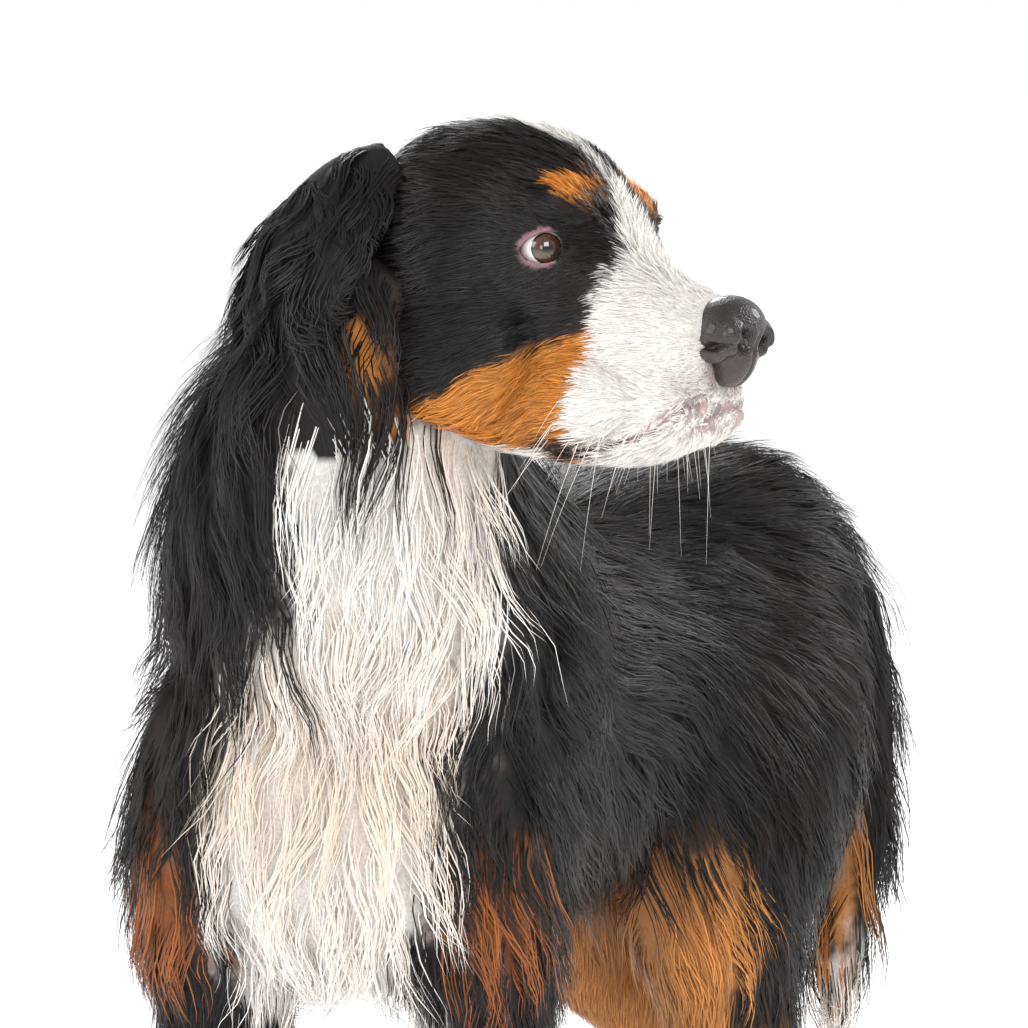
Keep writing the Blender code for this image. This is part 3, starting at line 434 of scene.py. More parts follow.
@dataclass(frozen=True)
class Palette:
    """Linear colours of the coat and skin."""

    black: tuple[float, float, float] = (0.0050, 0.0047, 0.0056)
    brown_black: tuple[float, float, float] = (0.0140, 0.0085, 0.0066)
    white: tuple[float, float, float] = (0.90, 0.875, 0.845)
    cream: tuple[float, float, float] = (0.84, 0.70, 0.56)
    cheek_tan: tuple[float, float, float] = (0.66, 0.235, 0.030)
    rust: tuple[float, float, float] = (0.36, 0.105, 0.022)
    ochre: tuple[float, float, float] = (0.46, 0.185, 0.045)
    lid_pink: tuple[float, float, float] = (0.27, 0.155, 0.175)
    lip_dark: tuple[float, float, float] = (0.030, 0.020, 0.022)
    lip_grey: tuple[float, float, float] = (0.30, 0.235, 0.235)
    lip_pink: tuple[float, float, float] = (0.72, 0.42, 0.42)


class Markings:
    """Where the coat is black, tan and white, from the places of the straight dog and of the head."""

    def __init__(self, stance: Stance, measures: Measures, palette: Palette) -> None:
        """Keeps the dog's shape and draws the ripples that fray the borders.

        Args:
            stance: The dog's stance.
            measures: The dog's rows.
            palette: The colours.
        """
        self.stance = stance
        self.measures = measures
        self.palette = palette
        self.fray = Ripple(5, 0.045)
        self.fine = Ripple(6, 0.012)
        self.tone = Ripple(7, 0.11)

    def head_white(self, h: Array) -> Array:
        """How far a place of the head is inside the white, in metres.

        Args:
            h: Points in the head's axes.

        Returns:
            Signed depths, above 0 in the white.
        """
        forward, across, up = h[:, 0], np.abs(h[:, 1]), h[:, 2]
        levels = (-0.125, -0.100, -0.082, -0.041, -0.017, 0.012, 0.03)
        fronts = (0.033, 0.035, 0.037, 0.035, 0.041, 0.040, 0.037)
        muzzle = forward - np.interp(up, levels, fronts)
        places = (-0.118, -0.10, -0.06, -0.02, 0.004, 0.018, 0.034)
        halves = (-0.02, 0.008, 0.014, 0.0085, 0.0042, 0.0065, 0.018)
        stripe = np.interp(forward, places, halves)
        blaze = np.where(up > 0.0, stripe - across, -0.05)
        under = np.minimum(-0.119 - up, forward + 0.06)
        return np.minimum(np.maximum(np.maximum(muzzle, blaze), under), self.off_lips(h))

    def head_tan(self, h: Array) -> Array:
        """How far a place of the head is inside the tan, in metres."""
        forward, across, up = h[:, 0], np.abs(h[:, 1]), h[:, 2]
        places = (-0.085, -0.055, -0.020, 0.012, 0.038)
        upper = np.interp(forward, places, (-0.110, -0.094, -0.074, -0.056, -0.037))
        cheek = np.minimum(np.minimum(upper - up, up + 0.126), np.minimum(across - 0.012, forward + 0.080))
        brow = 1.0 - np.sqrt(
            ((forward - 0.014) / 0.0150) ** 2 + ((up - 0.037) / 0.0100) ** 2 + ((across - 0.027) / 0.015) ** 2
        )
        edge = 1.0 - np.sqrt(((forward + 0.088) / 0.008) ** 2 + ((up + 0.070) / 0.020) ** 2)
        fleck = 1.0 - np.sqrt(
            ((forward - 0.056) / 0.008) ** 2 + ((up + 0.078) / 0.0035) ** 2 + ((h[:, 1] + 0.04) / 0.02) ** 2
        )
        tan = np.maximum.reduce([cheek, brow * 0.010, edge * 0.009, fleck * 0.005])
        return np.minimum(tan, self.off_lips(h))

    @staticmethod
    def off_lips(h: Array) -> Array:
        """How far a place of the head is from the dark hair round the corner of the mouth."""
        up = h[:, 2] + 0.1135 - 0.12 * h[:, 0]
        return (np.sqrt(((h[:, 0] - 0.014) / 0.026) ** 2 + (up / 0.0060) ** 2) - 1.0) * 0.006

    def throat_white(self, p: Array) -> Array:
        """How far a place of the neck is inside the white, by its bearing round the neck's middle."""
        rows = np.array(self.measures.neck)
        heights = rows[:, 2]
        middle_x = np.interp(p[:, 2], heights, rows[:, 0])
        middle_y = np.interp(p[:, 2], heights, rows[:, 1])
        bearing = np.degrees(np.arctan2(p[:, 1] - middle_y, p[:, 0] - middle_x))
        heights = (0.55, 0.60, 0.65, 0.69, 0.73)
        centre = np.interp(p[:, 2], heights, (-57.0, -48.0, -43.0, -28.0, -10.0))
        half = np.interp(p[:, 2], heights, (29.0, 31.0, 35.0, 51.0, 70.0))
        below = -0.108 - self.stance.to_head(p)[:, 2]
        off = np.abs((bearing - centre + 180.0) % 360.0 - 180.0)
        return np.minimum((half - off) * (math.pi / 180.0) * 0.13, below)

    def body_white(self, p: Array, q: Array) -> Array:
        """How far a place of the body is inside the white, in metres.

        Args:
            p: Points in the posed dog.
            q: The same points in the straight dog.

        Returns:
            Signed depths, above 0 in the white.
        """
        x, y, z = q.T
        levels = (0.28, 0.33, 0.37, 0.42, 0.50, 0.56, 0.62)
        left = np.interp(z, levels, (0.030, 0.035, 0.050, 0.070, 0.078, 0.085, 0.085))
        right = np.interp(z, levels, (-0.050, -0.058, -0.066, -0.078, -0.062, -0.055, -0.050))
        front = np.minimum(np.minimum(left - x, x - right), -0.200 - y)
        under = np.minimum(np.minimum(0.345 - z, -0.10 - y), 0.050 - np.abs(x))
        chest = np.maximum(front, under)
        share = np.clip((z - 0.545) / 0.045, 0, 1)
        white = chest * (1 - share) + self.throat_white(p) * share
        fore = np.where(y < -0.05, 0.088 - z, -0.1)
        hind = np.where((y > 0.05) & (np.abs(x) > 0.03), 0.072 - z, -0.1)
        tip = np.where((y > 0.33) & (np.abs(x) < 0.07), 0.235 - z, -0.1)
        return np.maximum.reduce([white, fore, hind, tip])

    def body_tan(self, q: Array, n: Array) -> Array:
        """How far a place of the body is inside the tan, in metres.

        Args:
            q: Points in the straight dog.
            n: Their normals there.

        Returns:
            Signed depths, above 0 in the tan.
        """
        x, y, z = q.T
        out = np.abs(x)
        side = np.sign(x)
        patch = 1.0 - np.sqrt(((out - 0.098) / 0.026) ** 2 + ((z - 0.400) / 0.038) ** 2)
        patch = np.where(y < -0.20, patch * 0.026, -0.1)
        fore = np.where(y < -0.05, 0.235 - z, -0.1)
        front = np.minimum((-n[:, 1] - 0.45) * 0.1, 0.372 - z)
        inner = np.minimum((-n[:, 0] * side - 0.30) * 0.1, 0.375 - z)
        rear = np.where(n[:, 1] > 0.35, -0.04, 0.0)
        low = 0.235 - z + rear * rise(z, 0.17, 0.02)
        near = (y > 0.05) & (y < 0.40) & (out > 0.02)
        hind = np.where(near, np.maximum.reduce([front, inner, low]), -0.1)
        return np.maximum.reduce([patch, fore, hind])

    def weights(
        self, p: Array, n: Array, on_head: bool, soft: float, rng: np.random.Generator | None
    ) -> tuple[Array, Array]:
        """Tan and white shares at places of the coat.

        Args:
            p: Points in the posed dog.
            n: Their normals.
            on_head: Whether they are on the head.
            soft: How soft a border is, in metres.
            rng: Draws the mix of hairs at a border, or None for smooth borders.

        Returns:
            The tan share and the white share.
        """
        broad, narrow = (0.0018, 0.0010) if on_head else (0.007, 0.003)
        jitter = self.fray.at(p) * broad + self.fine.at(p) * narrow
        if rng is not None:
            jitter = jitter + rng.normal(size=len(p)) * soft
        if on_head:
            h = self.stance.to_head(p)
            white, tan = self.head_white(h), self.head_tan(h)
        else:
            q = self.stance.unbend(p)
            straight = self.stance.turn_ways(n, -q[:, 1])
            white, tan = self.body_white(p, q), self.body_tan(q, straight)
        edge = 0.0006 if rng is not None else soft
        return rise(tan + jitter, 0, edge), rise(white + jitter, 0, edge)

    def colours(self, p: Array, n: Array, on_head: bool, rng: np.random.Generator | None) -> Array:
        """Linear colours of hairs or skin at places of the dog.

        Args:
            p: Points in the posed dog.
            n: Their normals.
            on_head: Whether they are on the head.
            rng: Draws single hairs apart, or None for skin.

        Returns:
            One colour for each point.
        """
        soft = 0.0016 if on_head else 0.005
        tan_share, white_share = self.weights(p, n, on_head, soft, rng)
        count = len(p)
        noise = rng.normal(size=count) if rng is not None else np.zeros(count)
        pal = self.palette
        tone = self.tone.at(p)
        mixed = np.clip(0.35 + 0.25 * tone + 0.25 * noise, 0, 1)[:, None]
        black = np.array(pal.black) * (1 - mixed) + np.array(pal.brown_black) * mixed
        q = self.stance.unbend(p)
        if on_head:
            tan = np.tile(np.array(pal.cheek_tan), (count, 1))
            cream = np.clip(0.05 + 0.05 * noise, 0, 1)[:, None]
        else:
            hind = rise(q[:, 1], 0.0, 0.02)[:, None]
            tan = np.array(pal.rust) * (1 - hind) + np.array(pal.ochre) * hind
            middle = np.exp(-(((q[:, 2] - 0.50) / 0.075) ** 2)) * 0.62
            cream = np.clip(0.10 + middle + 0.12 * tone + 0.14 * noise, 0, 1)[:, None]
        white = np.array(pal.white) * (1 - cream) + np.array(pal.cream) * cream
        tan = tan * np.exp(0.14 * noise + 0.12 * tone)[:, None]
        colour = black * (1 - tan_share[:, None]) + tan * tan_share[:, None]
        colour = colour * (1 - white_share[:, None]) + white * white_share[:, None]
        return colour * np.exp(0.06 * noise)[:, None]


# Skin.


class Clay:
    """Closed lofts and balls that are melted into one skin."""

    def __init__(self) -> None:
        """Starts with nothing."""
        self.verts: list[Array] = []
        self.faces: list[tuple[int, ...]] = []
        self.count = 0

    def loft(self, rings: list[Array]) -> None:
        """Adds a closed skin over rings of points, with a fan at each end."""
        sides = len(rings[0])
        base = self.count
        tops = [rings[0].mean(0, keepdims=True), rings[-1].mean(0, keepdims=True)]
        self.verts += [*rings, *tops]
        for k in range(len(rings) - 1):
            for i in range(sides):
                j = (i + 1) % sides
                a, b = base + k * sides, base + (k + 1) * sides
                self.faces.append((a + i, a + j, b + j, b + i))
        first, last = base + len(rings) * sides, base + len(rings) * sides + 1
        for i in range(sides):
            j = (i + 1) % sides
            self.faces.append((base + j, base + i, first))
            end = base + (len(rings) - 1) * sides
            self.faces.append((end + i, end + j, last))
        self.count += len(rings) * sides + 2

    def ball(
        self,
        centre: tuple[float, float, float],
        radii: tuple[float, float, float],
        place: Matrix = Matrix.Identity(4),
        turn: tuple[float, float, float] = (0, 0, 0),
        sides: int = 28,
    ) -> None:
        """Adds an ellipsoid.

        Args:
            centre: Its middle, in the axes that place gives.
            radii: Its three radii.
            place: From its axes to the dog's.
            turn: Degrees about its own three axes.
            sides: How many sides it has round its equator.
        """
        spin = Matrix.Identity(4)
        for angle, axis in zip(turn, "XYZ"):
            spin = spin @ Matrix.Rotation(math.radians(angle), 4, axis)
        whole = np.array(place @ Matrix.Translation(centre) @ spin @ Matrix.Diagonal((*radii, 1.0)), float)
        bearings = np.arange(sides) * 2 * math.pi / sides
        rings = []
        for k in range(1, sides // 2):
            lat = math.pi * k / (sides // 2)
            flat = np.stack([np.cos(bearings), np.sin(bearings)], 1) * math.sin(lat)
            ring = np.column_stack([flat, np.full(sides, -math.cos(lat))])
            rings.append(ring @ whole[:3, :3].T + whole[:3, 3])
        self.loft(rings)

    def object(self, name: str, shift: Array | float = 0.0) -> bpy.types.Object:
        """All that was added as one object, moved by a shift."""
        return mesh_object(name, np.concatenate(self.verts) + shift, self.faces)

    def melt(self, name: str, voxel: float, smooth: int) -> bpy.types.Object:
        """Melts all that was added into one closed smooth mesh.

        Args:
            name: The object's name.
            voxel: The size of the steps, in metres.
            smooth: Rounds of smoothing.

        Returns:
            A new object.
        """
        obj = self.object(name)
        remesh = obj.modifiers.new("melt", "REMESH")
        remesh.mode = "VOXEL"
        remesh.voxel_size = voxel
        ease = obj.modifiers.new("ease", "SMOOTH")
        ease.factor = 0.5
        ease.iterations = smooth
        return applied(obj)


def mesh_object(name: str, places: Array, faces: list[tuple[int, ...]]) -> bpy.types.Object:
    """A new object of the scene from its vertices' places and its faces."""
    mesh = bpy.data.meshes.new(name)
    mesh.from_pydata(places.tolist(), [], faces)
    obj = bpy.data.objects.new(name, mesh)
    bpy.context.scene.collection.objects.link(obj)
    return obj


def applied(obj: bpy.types.Object) -> bpy.types.Object:
    """The object with its modifiers made into its mesh."""
    graph = bpy.context.evaluated_depsgraph_get()
    mesh = bpy.data.meshes.new_from_object(obj.evaluated_get(graph))
    obj.modifiers.clear()
    old = obj.data
    obj.data = mesh
    bpy.data.meshes.remove(old)
    return obj


def fused(obj: bpy.types.Object, other: bpy.types.Object, operation: str) -> bpy.types.Object:
    """The first object joined with, or cut by, the other, which is then removed."""
    boolean = obj.modifiers.new("fuse", "BOOLEAN")
    boolean.operation = operation
    boolean.solver = "MANIFOLD"
    boolean.object = other
    obj = applied(obj)
    bpy.data.objects.remove(other)
    return obj


def vertex_places(obj: bpy.types.Object) -> Array:
    """The places of the object's vertices."""
    co = np.empty(len(obj.data.vertices) * 3)
    obj.data.vertices.foreach_get("co", co)
    return co.reshape(-1, 3)


def set_vertex_places(obj: bpy.types.Object, places: Array) -> None:
    """Moves the object's vertices."""
    obj.data.vertices.foreach_set("co", places.reshape(-1).astype(np.float32))
    obj.data.update()


def vertex_normals(obj: bpy.types.Object) -> Array:
    """The normals at the object's vertices."""
    values = np.empty(len(obj.data.vertices) * 3)
    obj.data.vertex_normals.foreach_get("vector", values)
    return values.reshape(-1, 3)


def set_tint(obj: bpy.types.Object, colours: Array) -> None:
    """Gives each vertex of the object its colour."""
    attribute = obj.data.color_attributes.new(TINT, "FLOAT_COLOR", "POINT")
    full = np.ones((len(colours), 4), np.float32)
    full[:, :3] = colours
    attribute.data.foreach_set("color", full.reshape(-1))


def oval(
    centre: Array, across: Array, up: Array, half: float, high: float, low: float, sides: int, square: float
) -> Array:
    """A ring of points: an oval with its own reach above and below its centre.

    Args:
        centre: Its middle.
        across: The way of its breadth.
        up: The way of its height.
        half: Half its breadth.
        high: Its reach above the middle.
        low: Its reach below the middle.
        sides: How many points it has.
        square: 2 for an ellipse, more for a squarer oval.

    Returns:
        The points.
    """
    angle = np.arange(sides) * 2 * math.pi / sides
    c, s = np.cos(angle), np.sin(angle)
    reach_c = np.sign(c) * np.abs(c) ** (2 / square)
    reach_s = np.sign(s) * np.abs(s) ** (2 / square) * np.where(s > 0, high, low)
    return centre + np.outer(reach_c * half, across) + np.outer(reach_s, up)


@dataclass(frozen=True)
class Body:
    """The trunk, neck, legs, paws and tail, as one bare form under the coat."""

    stance: Stance
    measures: Measures
    share: float = 0.32  # how much of the coat's depth the skin takes in
    short_share: float = 0.55  # the same where the coat is short
    voxel: float = 0.0052
    floor_gap: float = 0.0012

    def tube(self, clay: Clay, rows: Rows, bent: bool) -> None:
        """Adds a limb along rows of place, half breadth, half depth and coat."""
        table = spline(rows, 5)
        centres = table[:, :3]
        rings = []
        for i, row in enumerate(table):
            along = unit(centres[min(i + 1, len(table) - 1)] - centres[max(i - 1, 0)])
            side = unit(np.cross(along, -Y_AXIS))
            front = unit(np.cross(side, along))
            depth = row[5] * (self.share if row[2] > self.measures.short_below else self.short_share)
            ring = oval(row[:3], side, front, row[3] + depth, row[4] + depth, row[4] + depth, 24, 2.0)
            rings.append(self.stance.bend(ring) if bent else ring)
        clay.loft(rings)

    def legs(self) -> list[Rows]:
        """The rows of each leg."""
        m = self.measures
        out = []
        for side in Side:
            hind = m.hind_forward if side is Side.LEFT else m.hind_back
            out.append(tuple((x * side + m.foreleg_lean, *rest) for x, *rest in m.foreleg))
            out.append(tuple((x * side, *rest) for x, *rest in hind))
        return out

    def paw_place(self, row: tuple[float, ...]) -> Matrix:
        """From a paw's axes to the posed dog."""
        x, y, _ = self.stance.bend(np.array([[row[0], row[1], 0.0]]))[0]
        turn = Matrix.Rotation(-row[1] / self.stance.spine_radius, 4, "Z")
        return Matrix.Translation((x, y, 0.0)) @ turn

    def skin(self) -> bpy.types.Object:
        """The bare body without the head.

        Returns:
            A new closed mesh object.
        """
        m = self.measures
        clay = Clay()
        rings = []
        for y, top, bottom, half, depth in spline(m.trunk, 6):
            grow = depth * self.share
            tall = (top - bottom) / 2 + grow
            at = np.array([0.0, y, (top + bottom) / 2])
            ring = oval(at, X_AXIS, Z_AXIS, half + grow, tall, tall, 40, 2.15)
            rings.append(self.stance.bend(ring))
        clay.loft(rings)
        self.tube(clay, m.neck, False)
        self.tube(clay, m.tail, True)
        for rows in self.legs():
            self.tube(clay, rows, True)
            self.paw(clay, self.paw_place(rows[-1]))
        obj = clay.melt("body_skin", self.voxel, 5)
        places = vertex_places(obj)
        places[:, 2] = np.maximum(places[:, 2], self.floor_gap)
        set_vertex_places(obj, places)
        return obj

    def paw(self, clay: Clay, place: Matrix) -> None:
        """Adds a paw with four toes."""
        m = self.measures
        clay.ball((0, -0.010, m.paw_ball[2] - m.sole_sink), m.paw_ball, place)
        clay.ball((0, 0.004, 0.056), (0.0335, 0.035, 0.048), place)
        for across, ahead in m.toes:
            clay.ball((across, -0.018 - ahead, m.toe_rise - m.sole_sink), m.toe_ball, place, sides=20)


@dataclass(frozen=True)
class LidShape:
    """The opening between one eye's lids, in the head's axes."""

    turn: float = 52.0  # degrees from straight ahead to the side
    half_wide: float = 0.0137
    upper: float = 0.0092
    lower: float = 0.0076
    slant: float = 9.0
    rim: float = 0.0019

    def look(self, side: Side) -> Array:
        """The way the opening faces."""
        angle = math.radians(self.turn)
        return np.array([math.cos(angle), side * math.sin(angle), 0.03])


@dataclass(frozen=True)
class Head:
    """The bare head with its lids, lips and folds, and the two ears."""

    stance: Stance
    measures: Measures
    lids: LidShape
    lid_ball: float = 0.0168  # radius of the swelling round an eyeball
    voxel: float = 0.0019
    ear_voxel: float = 0.0032

    @property
    def place(self) -> Matrix:
        """From the head's axes to the posed dog."""
        return self.stance.head_matrix()

    def skin(self) -> bpy.types.Object:
        """The head without its ears.

        Returns:
            A new closed mesh object.
        """
        m = self.measures
        clay = Clay()
        rings = []
        for forward, top, bottom, half, level in spline(m.skull, 6):
            at = np.array([forward, 0.0, level])
            ring = oval(at, Y_AXIS, Z_AXIS, half, top - level, level - bottom, 40, 2.3)
            rings.append(self.stance.from_head(ring))
        clay.loft(rings)
        rings = []
        for forward, top, bottom, half in spline(m.jaw, 4):
            at = np.array([forward, 0.0, (top + bottom) / 2])
            tall = (top - bottom) / 2
            ring = oval(at, Y_AXIS, Z_AXIS, half, tall, tall, 24, 2.4)
            rings.append(self.stance.from_head(ring))
        clay.loft(rings)
        for side in reversed(Side):
            for at, radii, turn in m.masses:
                spin = (turn[0], turn[1], side * turn[2])
                clay.ball((at[0], side * at[1], at[2]), radii, self.place, spin)
            clay.ball((m.eye_at[0], side * m.eye_at[1], 0.0), (self.lid_ball,) * 3, self.place)
        obj = clay.melt("head_skin", self.voxel, 9)
        self.sculpt(obj)
        for side in Side:
            obj = fused(obj, self.socket(side), "DIFFERENCE")
            obj = fused(obj, self.lid_ring(side), "UNION")
        return obj

    def lip_line(self, h: Array) -> tuple[Array, Array]:
        """Distance from the line of the mouth, and the forward place along it."""
        line = spline(self.measures.lips, 6)
        flat = h[:, [0, 2]]
        gap = np.linalg.norm(flat[:, None, :] - line[None, :, :], axis=2)
        return gap.min(1), flat[:, 0]

    def sculpt(self, obj: bpy.types.Object) -> None:
        """Works the line of the mouth, the lips, the furrow between the eyes and soft folds into the head."""
        p = vertex_places(obj)
        n = vertex_normals(obj) @ self.stance.head_turn()
        h = self.stance.to_head(p)
        gap, forward = self.lip_line(h)
        side = np.abs(h[:, 1])
        mouth = np.exp(-((gap / 0.0021) ** 2)) * rise(forward, 0.0, 0.004)
        push = -0.0030 * mouth
        push += 0.0012 * np.exp(-(((gap - 0.0045) / 0.0025) ** 2)) * rise(forward, 0.0, 0.006)
        furrow = np.exp(-((side / 0.006) ** 2)) * rise(h[:, 2], 0.0, 0.01) * rise(-h[:, 0], -0.04, 0.01)
        push -= 0.0020 * furrow * rise(h[:, 0], -0.05, 0.015)
        philtrum = np.exp(-((side / 0.0016) ** 2)) * rise(-h[:, 2], 0.045, 0.004)
        push -= 0.0022 * philtrum * rise(h[:, 0], 0.088, 0.002)
        below = np.exp(-(((h[:, 0] - 0.008) / 0.016) ** 2 + ((h[:, 2] + 0.022) / 0.007) ** 2))
        push -= 0.0016 * below
        corner = np.exp(-(((h[:, 0] + 0.012) / 0.02) ** 2 + ((h[:, 2] + 0.105) / 0.010) ** 2))
        push -= 0.0018 * corner * rise(side, 0.02, 0.004)
        push += Ripple(21, 0.03).at(h) * 0.0003
        set_vertex_places(obj, self.stance.from_head(h + n * push[:, None]))

    def eye_frame(self, side: Side) -> tuple[Array, Array, Array, Array]:
        """One eye's middle, and the way it faces, its across and its up, in the head's axes."""
        m = self.measures
        at = np.array([m.eye_at[0], side * m.eye_at[1], m.eye_at[2]])
        look = unit(self.lids.look(side))
        up = unit(Z_AXIS - look * look[2])
        across = np.cross(up, look) * side  # towards the back of the head
        slant = math.radians(self.lids.slant)
        tilted = across * math.cos(slant) - up * math.sin(slant)
        return at, look, tilted, unit(np.cross(look, tilted)) * side

    def almond(self, side: Side, grow: float, count: int = 40) -> Array:
        """The edge of one eye's opening, on the eyeball, in the head's axes.

        Args:
            side: Which eye.
            grow: How much wider than the opening.
            count: Points round it.

        Returns:
            Points on the ball.
        """
        at, look, across, up = self.eye_frame(side)
        angle = np.arange(count) * 2 * math.pi / count
        c, s = np.cos(angle), np.sin(angle)
        # The upper lid is highest towards the nose, and both corners are drawn out.
        high = np.where(s > 0, self.lids.upper, self.lids.lower) + grow
        wide = (self.lids.half_wide + grow) * c
        tall = high * np.sign(s) * np.abs(s) ** 1.15
        tall = tall * (1 - 0.22 * c * np.where(s > 0, 1, -0.6))
        radius = self.measures.eye_radius + 0.0006
        flat = np.stack([wide, tall], 1)
        reach = np.minimum(np.linalg.norm(flat, axis=1), radius * 0.999)
        flat = flat / np.maximum(np.linalg.norm(flat, axis=1, keepdims=True), 1e-9) * reach[:, None]
        ahead = np.sqrt(radius**2 - reach**2)
        return at + np.outer(flat[:, 0], across) + np.outer(flat[:, 1], up) + np.outer(ahead, look)

    def socket(self, side: Side) -> bpy.types.Object:
        """What is cut from the head for one eye: the ball's room and the opening before it."""
        at, look, _, _ = self.eye_frame(side)
        edge = self.almond(side, 0.0006)
        clay = Clay()
        inner = at + (edge - at) * 0.55
        clay.loft([self.stance.from_head(r) for r in (inner, edge, edge + look * 0.012)])
        obj = clay.object("socket")
        facing(obj)
        room = Clay()
        room.ball(tuple(at), (self.measures.eye_radius + 0.0002,) * 3, self.place, sides=40)
        ball = room.object("room")
        facing(ball)
        return fused(obj, ball, "UNION")

    def lid_gap(self, side: Side, h: Array) -> Array:
        """How far places of the head are from the edge of one eye's lids; a metre where they aren't near."""
        edge = self.almond(side, 0.0)
        close = np.linalg.norm(h - edge.mean(0), axis=1) < 0.04
        gap = np.full(len(h), 1.0)
        gap[close] = np.linalg.norm(h[close][:, None, :] - edge[None], axis=2).min(1)
        return gap

    def lid_ring(self, side: Side) -> bpy.types.Object:
        """The swollen rim of one eye's lids."""
        at, _, _, _ = self.eye_frame(side)
        edge = self.almond(side, 0.0010)
        middle = edge.mean(0)
        count = len(edge)
        sides = 10
        verts = []
        for i in range(count):
            along = unit(edge[(i + 1) % count] - edge[i - 1])
            out = unit(edge[i] - at)
            away = unit(np.cross(along, out))
            if np.dot(away, edge[i] - middle) < 0:
                away = -away
            for k in range(sides):
                turn = 2 * math.pi * k / sides
                aside = self.lids.rim * 0.75 * (1 + math.cos(turn))
                verts.append(edge[i] + away * aside + out * (self.lids.rim * 0.62 * math.sin(turn)))
        faces = []
        for i in range(count):
            j = (i + 1) % count
            for k in range(sides):
                m = (k + 1) % sides
                faces.append((i * sides + k, i * sides + m, j * sides + m, j * sides + k))
        obj = mesh_object("lid_ring", self.stance.from_head(np.array(verts)), faces)
        facing(obj)
        return obj

    def ear(self, side: Side) -> bpy.types.Object:
        """One hanging ear flap, hollow towards the cheek."""
        m = self.measures
        rows = spline(m.ear, 4)
        centres = rows[:, :3] * np.array([1.0, side, 1.0])
        rings = []
        for i, row in enumerate(rows):
            along = unit(centres[min(i + 1, len(rows) - 1)] - centres[max(i - 1, 0)])
            turned = math.radians(side * row[5])
            out = np.array([-side * math.sin(turned), side * math.cos(turned), 0.0])
            wide = unit(np.cross(along, out))
            out = unit(np.cross(wide, along))
            if out[1] * side < 0:
                out = -out
            angle = np.arange(24) * 2 * math.pi / 24
            c, s = np.cos(angle), np.sin(angle)
            bow = m.ear_bow * row[3] * (1 - c * c)
            lift = row[4] * 0.55 * s * np.where(s > 0, 1.0, m.ear_inner) + bow
            ring = centres[i] + np.outer(row[3] * 0.94 * c, wide) + np.outer(lift, out)
            rings.append(self.stance.from_head(ring))
        clay = Clay()
        clay.loft(rings)
        return clay.melt("ear_skin", self.ear_voxel, 3)


def facing(obj: bpy.types.Object) -> None:
    """Turns the faces of a closed mesh outward."""
    mesh = obj.data
    mesh.calc_loop_triangles()
    tri = np.array([t.vertices[:] for t in mesh.loop_triangles])
    co = vertex_places(obj)
    volume = np.einsum("ij,ij->i", co[tri[:, 0]], np.cross(co[tri[:, 1]], co[tri[:, 2]])).sum()
    if volume < 0:
        mesh.flip_normals()


# Coat.


@dataclass(frozen=True)
class Growth:
    """How the coat grows at each of many places: one row or value for each."""

    way: Array
    length: Array
    width: Array
    lift: Array
    wave: Array
    clump: Array


@dataclass(frozen=True)
class Fall:
    """One sort of coat: its length, a tuft's width, how far its tips stand off, its wave and its clumping."""

    length: float
    width: float
    lift: float
    wave: float
    clump: float


@dataclass(frozen=True)
class Grade:
    """How fine one part of the coat is made: its tufts, guides, points along a tuft, and seed."""

    tufts: int
    guides: int
    points: int
    seed: int


BODY_GRADE = Grade(tufts=108000, guides=7500, points=6, seed=3)
HEAD_GRADE = Grade(tufts=62000, guides=6500, points=4, seed=4)
EAR_GRADE = Grade(tufts=6500, guides=420, points=7, seed=7)


def turned(way: Array, n: Array, angle: Array) -> Array:
    """Ways of unit length, turned about the normals by an angle each."""
    across = unit(np.cross(n, way))
    return unit(way) * np.cos(angle)[:, None] + across * np.sin(angle)[:, None]


